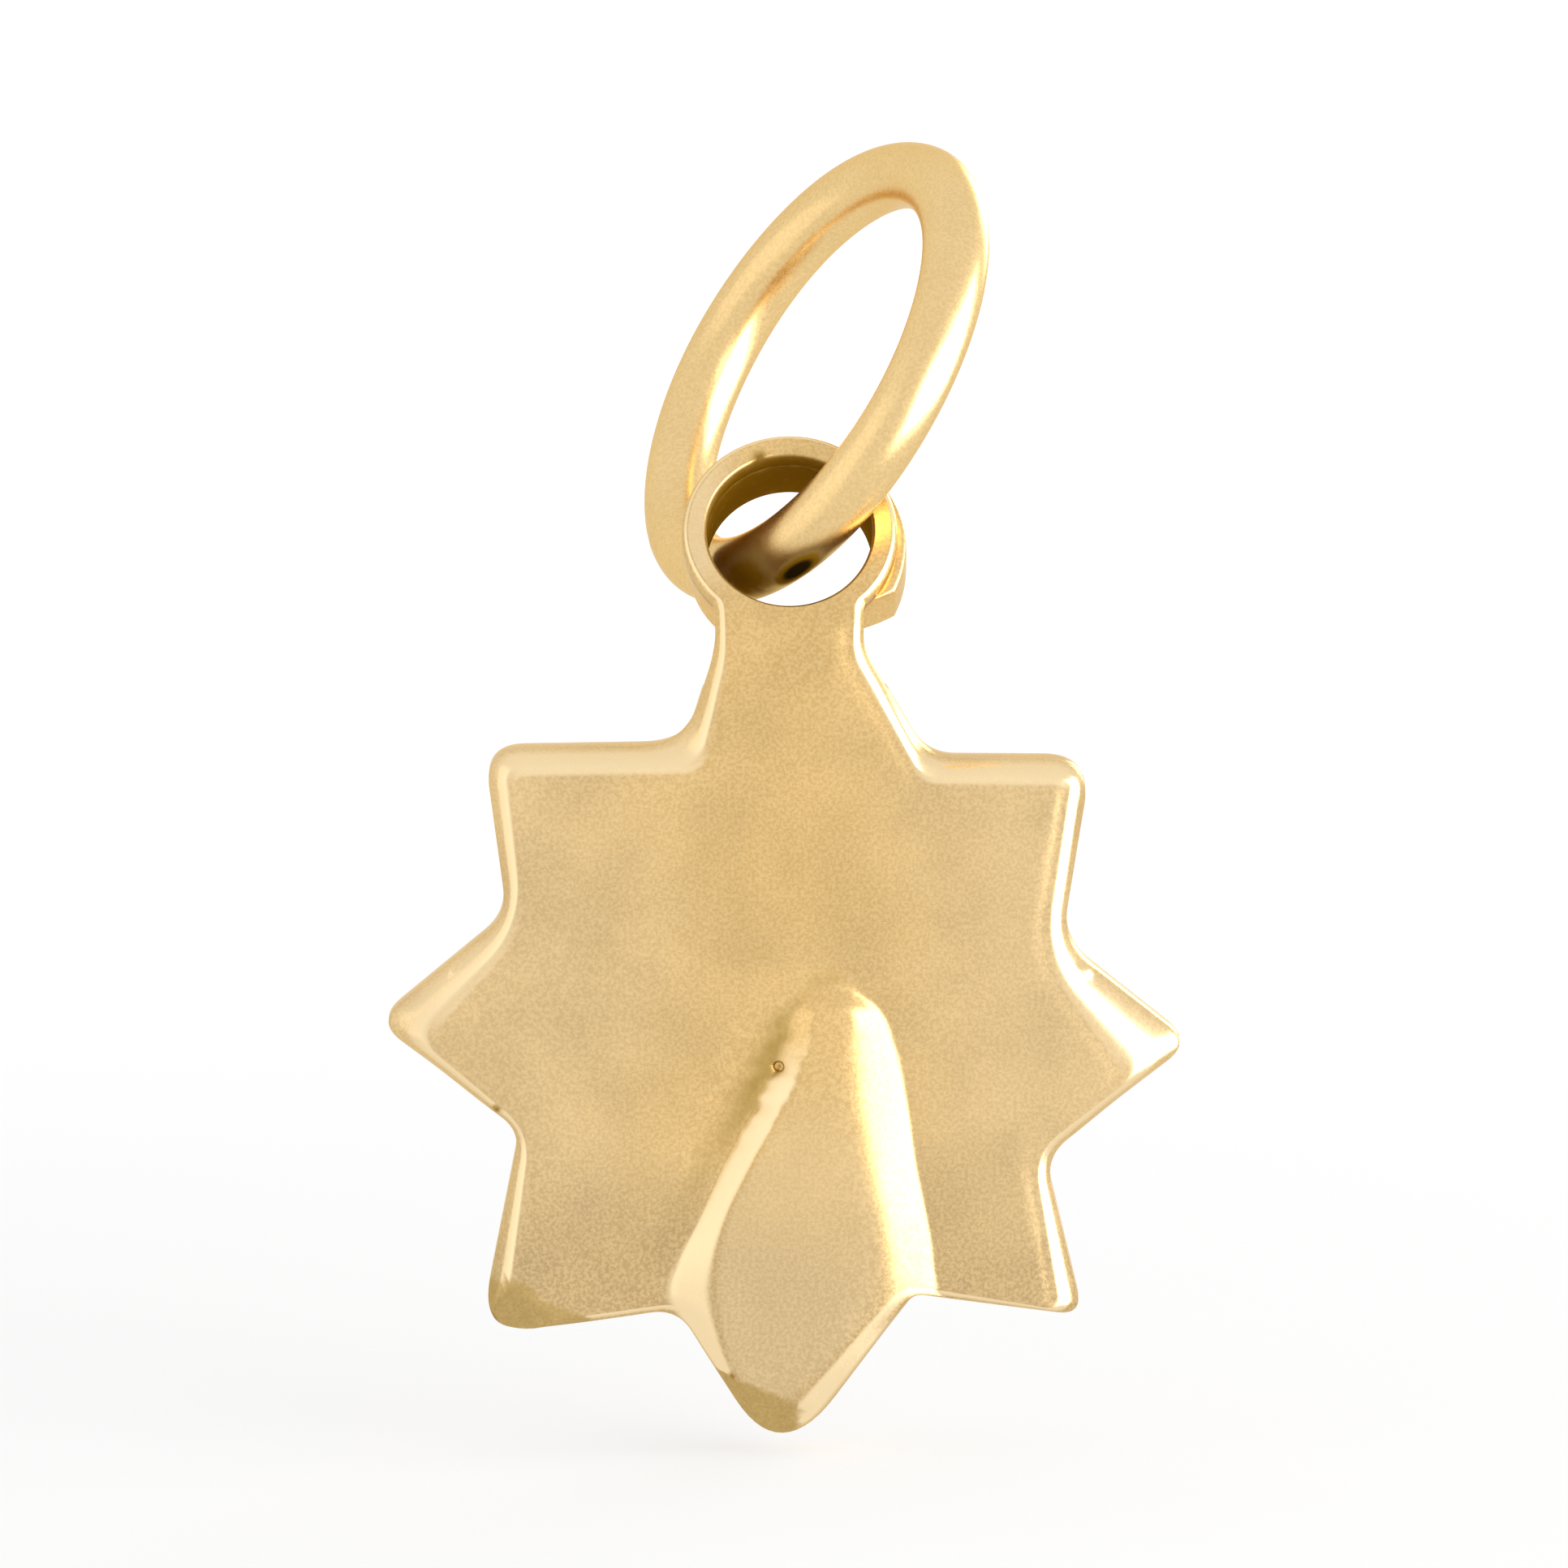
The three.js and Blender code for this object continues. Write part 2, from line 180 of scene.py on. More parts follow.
class Maker:
    """Adds nodes to one tree."""

    def __init__(self, tree):
        self.tree = tree
        tree.nodes.clear()

    def node(self, kind, settings=None, sockets=None, out=0):
        """One node: its settings, then a value or a link for each socket. It gives the output asked for."""
        made = self.tree.nodes.new("ShaderNode" + kind)
        for name, value in (settings or {}).items():
            setattr(made, name, value)
        for name, value in (sockets or {}).items():
            socket = made.inputs[name] if isinstance(name, int) else self.find(made, name)
            if isinstance(value, Wire):
                self.tree.links.new(value.socket, socket)
            else:
                socket.default_value = value
        return Wire(self, made.outputs[out]) if made.outputs else None

    @staticmethod
    def find(made, name):
        """An input by its identifier, and else by its name."""
        return next((s for s in made.inputs if s.identifier == name), None) or made.inputs[name]

    def mix(self, share, first, second, blend="MIX"):
        """A colour between two colours."""
        first, second = [c if isinstance(c, Wire) else (*c, 1) for c in (first, second)]
        colours = {"Factor_Float": share, "A_Color": first, "B_Color": second}
        return self.node("Mix", {"data_type": "RGBA", "blend_type": blend}, colours, "Result")

    def place(self):
        """Object coordinates in millimetres."""
        position = self.node("TexCoord", out="Object")
        return self.node("VectorMath", {"operation": "SCALE"}, {0: position, "Scale": 1000.0})

    def noise(self, vector, scale, detail=3.0, roughness=0.5):
        """A cloudy field from 0 to 1 with scale waves per mm."""
        return self.node("TexNoise", {}, {"Vector": vector, "Scale": scale, "Detail": detail, "Roughness": roughness})

    def stretch(self, vector, factors):
        """Each part of a vector times its own factor."""
        return self.node("VectorMath", {"operation": "MULTIPLY"}, {0: vector, 1: factors})

    def seen(self):
        """1 for rays that come from the camera, a mirror or clear glass, and 0 for the rest."""
        rays = [self.node("LightPath", out=f"Is {name} Ray") for name in ("Camera", "Glossy", "Transmission")]
        return rays[0].math("MAXIMUM", rays[1]).math("MAXIMUM", rays[2])

    def surface(self, sockets, height, relief):
        """The finished surface: a Principled shader with these sockets and bumps of relief mm."""
        bump = self.node("Bump", {}, {"Strength": 1.0, "Distance": relief * MM, "Height": height}, "Normal")
        shader = self.node("BsdfPrincipled", {}, {**sockets, "Normal": bump})
        self.node("OutputMaterial", {}, {"Surface": shader})


def new_material(name):
    """An empty material and the maker of its nodes."""
    material = bpy.data.materials.new(name)
    material.use_nodes = True
    return material, Maker(material.node_tree)


# %% [markdown]
# ## Studio
# Small gold things are lit with large soft boxes. The back face mirrors what is in front of it, so that side
# stays plain and even. A strong box at the right draws the bright lines along the turned edges and the rib,
# a weak one at the left answers it, and a small one behind lights the enamel front. The floor is pale, lies
# just below the lowest petal and is left out of reflections. The last step to white is a glow of world and
# floor that only the camera and mirrors meet, so it adds no light. The floor's glow grows outwards, where the
# boxes no longer reach, so that low views show no grey band at the horizon.

# %% World and floor
FLOOR_DROP, FLOOR_WIDE = 0.3, 6.0
LIT_WORLD = 0.78
PAPER_WHITE, FLOOR_VEIL = 0.8, 0.6
FLOOR_GLOW, FAR_GLOW, GLOW_RISE_MM = 1.04, 0.3, (15, 120)

world = bpy.data.worlds.new("studio")
world.use_nodes = True
scene.world = world
maker = Maker(world.node_tree)
strength = LIT_WORLD + (1 - LIT_WORLD) * maker.seen()
sky = maker.node("Background", {}, {"Color": (1, 1, 1, 1), "Strength": strength})
maker.node("OutputWorld", {}, {"Surface": sky})


def flat_square(name, size, z):
    """A level square, size wide, at height z, in metres."""
    half = size / 2
    corners = [(-half, -half, z), (half, -half, z), (half, half, z), (-half, half, z)]
    mesh = bpy.data.meshes.new(name)
    mesh.from_pydata(corners, [], [(0, 1, 2, 3)])
    return add_object(name, mesh)


floor_level = cad_box[0].z - FLOOR_DROP * MM
floor = flat_square("floor", FLOOR_WIDE, floor_level)
floor_material, maker = new_material("pale_floor")
paper = maker.node("BsdfDiffuse", {}, {"Color": (PAPER_WHITE,) * 3 + (1,)})
far = maker.node("VectorMath", {"operation": "LENGTH"}, {0: maker.place()}, "Value")
glow_strength = FLOOR_GLOW + FAR_GLOW * far.step(*GLOW_RISE_MM)
glow = maker.node("Emission", {}, {"Color": (1, 1, 1, 1), "Strength": glow_strength})
veiled = maker.node("MixShader", {}, {0: FLOOR_VEIL * maker.seen(), 1: paper, 2: glow})
maker.node("OutputMaterial", {}, {"Surface": veiled})
floor.data.materials.append(floor_material)
floor.visible_glossy = False
floor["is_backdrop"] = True
print("floor at", round(floor_level / MM, 2), "mm")

# %% Soft boxes
middle = (np.array([0, 0.6, 2.5]) - hanging_point) * MM


def soft_box(name, turn, rise, away_mm, wide, high, brightness):
    """A lamp turned from the camera's side towards +X and raised, in degrees. brightness is its own radiance."""
    a, e = math.radians(turn), math.radians(rise)
    towards = np.array([math.sin(a) * math.cos(e), -math.cos(a) * math.cos(e), math.sin(e)])
    data = bpy.data.lights.new(name, "AREA")
    data.shape, data.size, data.size_y = "RECTANGLE", wide * MM, high * MM
    data.energy = brightness * 4 * data.size * data.size_y
    lamp = add_object(name, data)
    lamp.location = middle + towards * away_mm * MM
    lamp.rotation_euler = Vector(towards).to_track_quat("Z", "Y").to_euler()
    lamp.visible_camera = False
    print(name, "power in W", round(data.energy, 3))


soft_box("box_right", 66, 5, 170, 300, 165, 3.3)
soft_box("box_left", -70, 8, 170, 170, 190, 0.22)
soft_box("box_front", 152, 12, 200, 80, 80, 4.0)

# %% [markdown]
# ## Building surfaces from arrays
# Every piece below is a grid of points with two parameters, worked out as whole numpy arrays. Grids that
# share an edge are welded, so the piece becomes one closed skin, and a count of edges without two faces
# shows that it has no hole.


# %% Grid and skin helpers
def grid_faces(rows, columns, ring_rows=False, ring_columns=True):
    """The four corners of every cell of a grid of points that are numbered row by row."""
    r = np.arange(rows if ring_rows else rows - 1)[:, None]
    c = np.arange(columns if ring_columns else columns - 1)[None, :]
    down, right = (r + 1) % rows, (c + 1) % columns
    corners = [r * columns + c, r * columns + right, down * columns + right, down * columns + c]
    return np.stack(np.broadcast_arrays(*corners), axis=-1)


def grid(points, **rings):
    """A patch: a grid of points together with its faces."""
    return points, grid_faces(*points.shape[:2], **rings)


def skin(name, patches, marks=None):
    """One welded mesh from patches of (points, faces), in mm in the star's frame. marks are values of its points."""
    points = np.vstack([p.reshape(-1, 3) for p, _ in patches])
    starts = np.cumsum([0] + [p.size // 3 for p, _ in patches])
    faces = np.vstack([f.reshape(-1, 4) + start for (_, f), start in zip(patches, starts)])
    mesh = bpy.data.meshes.new(name)
    mesh.from_pydata(((points - hanging_point) * MM).tolist(), [], faces.tolist())
    for mark, values in (marks or {}).items():
        mesh.attributes.new(mark, "FLOAT", "POINT").data.foreach_set("value", values.reshape(-1))
    shape = bmesh.new()
    shape.from_mesh(mesh)
    bmesh.ops.remove_doubles(shape, verts=shape.verts, dist=2e-7)
    bmesh.ops.recalc_face_normals(shape, faces=shape.faces)
    shape.to_mesh(mesh)
    shape.free()
    mesh.shade_smooth()
    edge_of_loop = np.zeros(len(mesh.loops), int)
    mesh.loops.foreach_get("edge_index", edge_of_loop)
    loose = np.count_nonzero(np.bincount(edge_of_loop) != 2)
    triangles = len(mesh.loops) - 2 * len(mesh.polygons)
    print(f"{name}: {len(mesh.vertices)} points, {triangles} triangles, {loose} open edges")
    return add_object(name, mesh)


def finish_piece(piece, material, body):
    """Gives the piece its finish, lets it ride on its body and puts it in place of the solid of its name."""
    piece.data.materials.append(material)
    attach(piece, body)
    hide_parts(piece.name.removesuffix("_look"))


# %% [markdown]
# ## The star outline
# The star is a polygon of tips and notches with small, measured errors of a hand-finished edge. An inset
# moves each edge inwards, and each corner is rounded by a quadratic curve. Every inset keeps the same number
# of points in the same order, so two outlines at different depths can be joined point to point.

# %% Outline values and functions
PETALS = 8
TOP = 2
TIP_REACH, NOTCH_REACH, TIP_ROUND, NOTCH_ROUND = 6.2, 4.48, 0.5, 0.43
tip_reach = TIP_REACH + np.array([-0.07, 0.08, 0, 0.11, -0.03, 0.27, 0.4, -0.01])
tip_turn = 45.0 * np.arange(PETALS) + [-1, -2.6, 0, 1, -1.9, -0.5, -0.5, 1.7]
tip_round = TIP_ROUND + np.array([-0.07, 0.23, 0, 0.1, -0.03, 0.33, 0.86, -0.13])
notch_reach = NOTCH_REACH + np.array([-0.06, 0.28, 0.2, 0.1, -0.24, -0.04, -0.11, -0.16])
notch_turn = 45.0 * (np.arange(PETALS) + 0.5) + [-3.4, -4.3, -3.7, -1.2, -3.2, 1.1, 4.3, -2.3]
notch_round = NOTCH_ROUND + np.array([0.13, 0, 0.25, 0.01, -0.1, -0.04, -0.26, 0.03])
NECK_HALF = 1.12


def polar(radius, degrees):
    """Points at a radius and an angle, anticlockwise from +X."""
    a = np.radians(degrees)
    return np.stack(np.broadcast_arrays(radius * np.cos(a), radius * np.sin(a)), axis=-1)


tips, notches = polar(tip_reach, tip_turn), polar(notch_reach, notch_turn)


def unit(vectors):
    """Each vector divided by its own length."""
    return vectors / np.linalg.norm(vectors, axis=1, keepdims=True)


def inset_polygon(corners, at_start, at_end=None):
    """Edge i of an anticlockwise polygon moves inwards by at_start[i] and at_end[i]; moved edges meet in corners."""
    nexts = np.roll(corners, -1, 0)
    along = unit(nexts - corners)
    inwards = np.stack([-along[:, 1], along[:, 0]], 1)
    start = corners + inwards * np.reshape(at_start, (-1, 1))
    end = nexts + inwards * np.reshape(at_start if at_end is None else at_end, (-1, 1))
    along = unit(end - start)
    last_start, last_along = np.roll(start, 1, 0), np.roll(along, 1, 0)

    def cross(a, b):
        return a[:, 0] * b[:, 1] - a[:, 1] * b[:, 0]

    reach = cross(start - last_start, along) / cross(last_along, along)
    return last_start + last_along * reach[:, None]


def curve(first, corner, last, steps):
    """Points of the quadratic curve that leaves first and reaches last with corner as its pull."""
    t = np.linspace(0, 1, steps + 1)[:, None]
    first, corner, last = np.array([first, corner, last])
    return (1 - t) ** 2 * first + 2 * t * (1 - t) * corner + t**2 * last


def round_polygon(corners, cuts, arcs, runs):
    """Each corner becomes a curve of arcs[i] steps, and runs[i] steps lead straight to the next one."""
    before, after = np.roll(corners, 1, 0), np.roll(corners, -1, 0)
    lengths = [np.linalg.norm(corners - other, axis=1) for other in (before, after)]
    shares = [np.minimum(0.45, cuts / length)[:, None] for length in lengths]
    entry = corners + (before - corners) * shares[0]
    leave = corners + (after - corners) * shares[1]
    parts = []
    for i, (arc, run) in enumerate(zip(arcs, runs)):
        share = np.linspace(0, 1, run + 1)[1:-1, None]
        parts += [curve(entry[i], corners[i], leave[i], arc)]
        parts += [leave[i] + (entry[(i + 1) % len(corners)] - leave[i]) * share]
    return np.vstack(parts)


def neck_point(side, z):
    """A point on the neck's right (1) or left (-1) side at the level z."""
    return np.array([NECK_SIDE + side * NECK_HALF, z])


def neck_edge(notch, side, z):
    """Where the edge from a top notch to the neck crosses the level z."""
    neck = neck_point(side, BEND_START)
    return notch + (neck - notch) * (z - notch[1]) / (BEND_START - notch[1])


print("tips", tips.round(2).tolist()[:2], "notches", notches.round(2).tolist()[:2])

# %% [markdown]
# ## Gold
# The charm is pressed from yellow gold sheet and polished. Polishing leaves a fine satin grain, faint
# scratches and soft clouds of tone. A paler gold is painted on the turned edge, the rib and the lobe's left
# side as a painted highlight. Residue stays in the vent, in small nicks and on the rough ground spots, and
# the same mark paints shade in the bore, along the foot and the top of the rib, and a painted shadow on the
# wire inside the eye. A slow noise and the place on the charm move the tone between three golds, and by
# place it is painted shade: browner near x = -1.8 mm and deep on the lower part of the star. A middle noise
# makes the clouds, a fine one the grain, a stretched one the scratches and a soft one shallow dents. The
# painted highlight and the mark of residue and shade are values that each piece carries on its own points.
# A little of the mark is ochre, more is brown and no longer metal, and values above 1 turn black, as the
# painted shadow on the wire does.


# %% Gold materials
GRAIN_TONE, PAINTED_HIGHLIGHT_TONE, METAL_EDGE = (0.84, 0.63, 0.32), (0.9, 0.7, 0.41), (0.92, 0.8, 0.58, 1)
OCHRE, BROWN, SHADOW_BLACK = (0.45, 0.3, 0.085), (0.235, 0.115, 0.003), (0.02, 0.012, 0.003)
GRAIN_UNEVEN = 0.09
TONE_SCALE, CLOUD_SCALE, DENT_SCALE, RESIDUE_SCALE, SCRATCH_SCALE, GRAIN_SCALE = 0.42, 0.75, 3.2, 6.0, 9.0, 19.0
SCRATCH_STRETCH = (1.0, 1.0, 0.6)


def make_gold(name, light, pale, deep, roughness, grain, scratches, relief, cloudy):
    """Polished gold between three tones. grain and scratches are strengths of fine relief, relief its height
    in mm. The tone is multiplied by one plus cloudy times the clouds plus GRAIN_UNEVEN times the grain."""
    material, maker = new_material(name)
    place = maker.place()
    slow = maker.noise(place, TONE_SCALE, 3.0, 0.55)
    fine = maker.noise(place, GRAIN_SCALE, 2.0, 0.65)
    rubbed = maker.noise(maker.stretch(place, SCRATCH_STRETCH), SCRATCH_SCALE, 3.0, 0.6)
    residue_and_shade, polish = [maker.node("Attribute", {"attribute_name": n}, out="Fac") for n in ("residue_and_shade", "polish")]
    patchy = (residue_and_shade * (0.7 + 0.6 * maker.noise(place, RESIDUE_SCALE, 3.0))).math("MINIMUM", 1.0)
    side = (maker.node("SeparateXYZ", {}, {0: place}, "X") + 1.8).math("ABSOLUTE")
    height_up = maker.node("SeparateXYZ", {}, {0: place}, "Z")
    # Painted shade: the tone is browner near x = -1.8 mm, paler to the sides, and deep on the lower part of the star.
    tone = maker.mix((0.6 * side.step(0, 4.5) + 0.5 * slow).step(0.15, 0.85), light, pale)
    tone = maker.mix((0.4 * slow + 0.6 * height_up.step(-12, -17)).step(0.3, 0.9), tone, deep)
    grains = fine.step(0.35, 0.65)
    tone = maker.mix(grains * 0.36, tone, GRAIN_TONE)
    clouds = maker.noise(place, CLOUD_SCALE, 2.0)
    uneven = 1 + cloudy * (clouds.step(0.3, 0.7) - 0.65) + GRAIN_UNEVEN * (grains - 0.5)
    tone = maker.mix(1.0, tone, uneven, "MULTIPLY")
    # Painted highlight: a paler gold where the turned edges, the rib and the lobe catch the lamps.
    tone = maker.mix(polish, tone, PAINTED_HIGHLIGHT_TONE)
    # The mark of residue and shade: residue in the vent, nicks and ground spots, painted shade in the bore and by the
    # rib, and a black painted shadow on the wire inside the eye.
    tone = maker.mix(patchy.step(0, 0.5) * 0.75, tone, OCHRE)
    caked_and_shaded = patchy.step(0.3, 1)
    tone = maker.mix(caked_and_shaded * 0.98, tone, BROWN)
    tone = maker.mix(residue_and_shade.step(1, 1.6), tone, SHADOW_BLACK)
    rough = roughness + 0.1 * (fine - 0.5) + 0.1 * (rubbed - 0.5) + 0.3 * patchy
    height = grain * fine + scratches * rubbed + 0.8 * maker.noise(place, DENT_SCALE, 2.0)
    sockets = {"Base Color": tone, "Metallic": 1 - caked_and_shaded, "Roughness": rough}
    sockets.update({"Specular IOR Level": 0.0, "Specular Tint": METAL_EDGE})
    maker.surface(sockets, height, relief)
    return material


sheet_tones = [(0.71, 0.465, 0.18), (0.715, 0.51, 0.255), (0.51, 0.355, 0.168)]
wire_tones = [(0.8, 0.56, 0.25), (0.8, 0.58, 0.28), (0.76, 0.52, 0.22)]
front_tones = [(0.76, 0.52, 0.23), (0.76, 0.54, 0.26), (0.71, 0.48, 0.2)]
sheet_gold = make_gold("sheet_gold", *sheet_tones, 0.28, grain=0.3, scratches=0.25, relief=0.002, cloudy=0.13)
wire_gold = make_gold("wire_gold", *wire_tones, 0.28, grain=0.2, scratches=0.4, relief=0.002, cloudy=0.03)
front_gold = make_gold("front_gold", *front_tones, 0.18, grain=0.3, scratches=0.2, relief=0.003, cloudy=0.08)
print("golds", [m.name for m in (sheet_gold, wire_gold, front_gold)])

# %% [markdown]
# ## Back plate
# On the real charm this is one sheet: the star's flat back with its turned edge, the rib that was pressed
# along the bottom petal, the neck that bends towards the front, and the lobe with the eye. It could be cut
# from a block, but a sheet is better described by a grid that is wrapped on it. One parameter goes round the
# whole outline, the other from the seam over the turned edge and the face to a hole and back underneath. The
# holes are the eye's bore and the small vent, and a line between them closes the sheet. The turned edge has
# its own width at the start and at the end of each side, because the real one was finished by hand.

# %% Outline of the sheet, with the neck and the lobe
LOBE_RADIUS, LOBE_POINTS = EYE_RADIUS + 0.38, 30
waist_drop = math.sqrt(LOBE_RADIUS**2 - NECK_HALF**2)
waist_angle = math.degrees(math.atan2(-waist_drop, NECK_HALF))
lobe_turns = np.linspace(waist_angle + 5, 180 - waist_angle - 5, LOBE_POINTS)
lobe = polar(LOBE_RADIUS * 1.002, lobe_turns) + [NECK_SIDE, EYE_Z]
neck_tops, waists = [[neck_point(side, z) for side in (1, -1)] for z in (BEND_START, EYE_Z - waist_drop)]


def in_turn(of_tips, of_notches, first, last):
    """The values of tips and notches in turn, from petal first up to petal last."""
    return [v for k in range(first, last) for v in (of_tips[k], of_notches[k])]


def with_lobe(before, on_lobe, after):
    """The values of all corners in turn: before the lobe, the same all along it, and after it."""
    return np.array([*before, *[on_lobe] * LOBE_POINTS, *after])


STAR_ARC, STAR_RUN = 14, 26
right_points, low_points = [in_turn(tips, notches, *span) for span in ((0, 2), (3, 8))]
right_rounds, low_rounds = [in_turn(tip_round, notch_round, *span) for span in ((0, 2), (3, 8))]
corners = [*right_points, neck_tops[0], waists[0], *lobe, waists[1], neck_tops[1], notches[2], *low_points]
corners = np.array(corners)
cuts = with_lobe([*right_rounds, 0.25, 0.2], 1.0, [0.3, 0.35, notch_round[2], *low_rounds])
arcs = with_lobe([STAR_ARC] * 4 + [8, 8], 3, [8, 8] + [STAR_ARC] * 11)
runs = with_lobe([STAR_RUN] * 3 + [34, 14, 2], 2, [14, 34] + [STAR_RUN] * 11)
runs[-6:-3] = 36
starts = np.cumsum([0, *(arcs + runs)])[:-1]
after = [0.14, 0.18, 0.27, 0.31, 0.25, 0.27, 0.16, 0.1, 0.14, 0.5, 0.14, 0.3, 0.16]
bevel_starts = with_lobe([0.84, 0.22, 0.27, 0.17, 0.14, 0.08], 0.08, after)
after = [0.16, 0.28, 0.27, 0.23, 0.55, 0.1, 0.36, 0.12, 0.16, 0.26, 0.07, 0.14, 0.18]
bevel_ends = with_lobe([0.3, 0.25, 0.25, 0.15, 0.14, 0.08], 0.08, after)
after = [0.2, 0.3, 0.35, 0.22, 0.8, 0.45, 0.5, 0.3, 0.35, 0.6, 0.3, 0.25, 0.5]
inner_cuts = with_lobe([0.35, 0.8, 0.16, 0.25, 0.2, 0.15], 1.0, after)
edge_is_lobe = with_lobe([False] * 5 + [True], True, [False] * 13)


def sheet_outline(distance=0.0, share=0.0):
    """The sheet's outline moved in by a distance and by a share of each edge's own bevel width."""
    limit = np.where(edge_is_lobe, min(distance, 0.2), distance)
    moved = inset_polygon(corners, limit + share * bevel_starts, limit + share * bevel_ends)
    return round_polygon(moved, cuts + (inner_cuts - cuts) * min(share, 1), arcs, runs)


columns = len(sheet_outline())
print("outline points", columns)

# %% Where the grid ends: the bore, the vent and the line between them
VENT = np.array([-0.09, -0.4])
VENT_RADIUS = 0.075
eye = np.array([NECK_SIDE, EYE_Z])
right_first, right_last = starts[3] + STAR_ARC // 2, starts[5] + 4
left_first, left_last = starts[6 + LOBE_POINTS] + 4, starts[8 + LOBE_POINTS] + STAR_ARC // 2
outer = sheet_outline(share=1.0)
VENT_STEPS, BORE_STEPS = 4, 12
right_steps, left_steps = right_last - right_first, left_last - left_first
print("neck columns", right_steps, left_steps)


def side_line(steps, notch_angle, waist_angle, vent_radius, bore_radius):
    """From the vent's side over its top, up the middle of the neck and round the bore to the waist."""
    vent_part = VENT + polar(vent_radius, np.linspace(notch_angle, 90, VENT_STEPS + 1))
    bore_part = eye + polar(bore_radius, np.linspace(-90, waist_angle, BORE_STEPS + 1))
    share = np.linspace(0, 1, steps - VENT_STEPS - BORE_STEPS + 1)[1:-1, None]
    between = vent_part[-1] + (bore_part[0] - vent_part[-1]) * share
    return np.vstack([vent_part, between, bore_part])


def inner_curve(vent_grow, bore_grow):
    """For each outline point, where its line ends: on the vent, the middle line or the bore."""
    vent_radius, bore_radius = VENT_RADIUS + vent_grow, EYE_RADIUS + bore_grow
    ends = VENT + vent_radius * unit(outer - VENT)
    lobe_part = slice(right_last, left_first + 1)
    ends[lobe_part] = eye + bore_radius * unit(outer[lobe_part] - eye)
    turning = ((right_first, VENT), (right_last, eye), (left_first, eye), (left_last, VENT))
    angle = [math.degrees(math.atan2(*(outer[i] - c)[::-1])) for i, c in turning]
    ends[right_first : right_last + 1] = side_line(right_steps, angle[0], angle[1], vent_radius, bore_radius)
    left_waist = angle[2] - 360 if angle[2] > 0 else angle[2]
    ends[left_first : left_last + 1] = side_line(left_steps, angle[3], left_waist, vent_radius, bore_radius)[::-1]
    return ends


has_wall = np.ones(columns, bool)
has_wall[right_first + VENT_STEPS : right_last - BORE_STEPS] = False
has_wall[left_first + BORE_STEPS : left_last - VENT_STEPS] = False

# %% [markdown]
# The rib was pressed up from inside. It starts at a point near the middle of the star, widens down to the
# bottom petal and ends at its tip. Fourteen stations give its feet, its crown and its height, and a smooth
# curve runs through them. Across the rib the height is a ramp with rounded ends at each side: crisp on the
# left and softer on the right, as the picture shows. The face itself isn't quite flat, because it was polished
# by hand: a few slow waves, and a hollow along the left of the rib. Its left flank, its crown and the lower
# end of its right slope carry a painted highlight, and its left foot, its top and the hollow beside it carry
# painted shade. Two tips were ground off at a slant, and the rough spots there hold residue, whose mark also
# paints the darker reflection of these facets, as small nicks on the edge and on the eye's lip hold residue.

# %% Stations of the rib: z, left foot, left crown, right crown, right foot and height
RIB_HEIGHT, RIB_SINK, LEFT_SOFT, RIGHT_SOFT = 0.255, 0.03, 0.07, 0.42
stations = np.array(
    [
        [1.25, 0.66, 0.78, 0.84, 0.94, -0.1],
        [0.78, 0.5, 0.74, 0.9, 1.1, 0.02],
        [0.5, 0.2, 0.5, 1.04, 1.42, 0.55],
        [-0.1, -0.04, 0.37, 1.05, 1.72, 0.8],
        [-0.95, -0.42, 0, 1.12, 1.92, 1],
        [-1.86, -0.9, -0.5, 1.3, 2.06, 1],
        [-2.76, -1.34, -0.92, 1.48, 2.24, 1],
        [-3.42, -1.7, -1.08, 1.55, 2.36, 1],
        [-3.85, -1.84, -1.12, 1.5, 2.44, 1],
        [-4.4, -1.5, -1.02, 1.18, 2.0, 1],
        [-5.0, -1.05, -0.8, 0.7, 1.65, 0.98],
        [-5.5, -0.62, -0.46, 0.2, 1.1, 0.9],
        [-5.95, -0.24, -0.12, 0.04, 0.5, 0.6],
        [-6.5, -0.1, 0, 0.1, 0.2, 0.3],
    ]
)[::-1]


def through_stations(z, values):
    """A smooth curve through the stations: cubic pieces whose slopes are those of the neighbours."""
    at = stations[:, 0]
    slopes = np.gradient(values, at)
    i = np.clip(np.searchsorted(at, z) - 1, 0, len(at) - 2)
    gap = at[i + 1] - at[i]
    t = np.clip((z - at[i]) / gap, 0, 1)
    rise = values[i + 1] - values[i]
    return values[i] + t**2 * (3 - 2 * t) * rise + gap * t * (1 - t) * ((1 - t) * slopes[i] - t * slopes[i + 1])


print("rib stations", len(stations), "from", stations[0, 0], "to", stations[-1, 0])


# %% Surface of the rib and its polish
def ramp(t, soft):
    """Follows t up to 1 and stays there, with the corner at 1 rounded by soft."""
    return (t + 1 - np.sqrt((1 - t) ** 2 + soft**2)) / 2


def smooth_step(low, high, t):
    """0 below low, 1 above high, and a smooth rise between them."""
    share = np.clip((t - low) / (high - low), 0, 1)
    return share * share * (3 - 2 * share)


def bell(t, width):
    """1 where t is 0, fading to nothing on both sides: e to the power of minus the square of t over width."""
    return np.exp(-((t / width) ** 2))


def soft_lower(a, b, blend):
    """The lower of two heights, with a fillet where they cross."""
    return (a + b - np.sqrt((a - b) ** 2 + blend**2)) / 2 + blend / 2 * np.exp(-((a - b) ** 2) / blend**2)


def rib_lines(z):
    """Left foot, left crown, right crown and right foot at each z, with the ragged left flank of the real one."""
    feet = [through_stations(z, stations[:, k]) for k in (1, 2, 3, 4)]
    ragged = bell(z + 0.55, 0.75)
    feet[0] = feet[0] + ragged * (0.045 * np.sin(11 * z + 1) + 0.03 * np.sin(23 * z))
    feet[1] = feet[1] + ragged * (0.03 * np.sin(9 * z + 2) + 0.02 * np.sin(27 * z))
    return feet


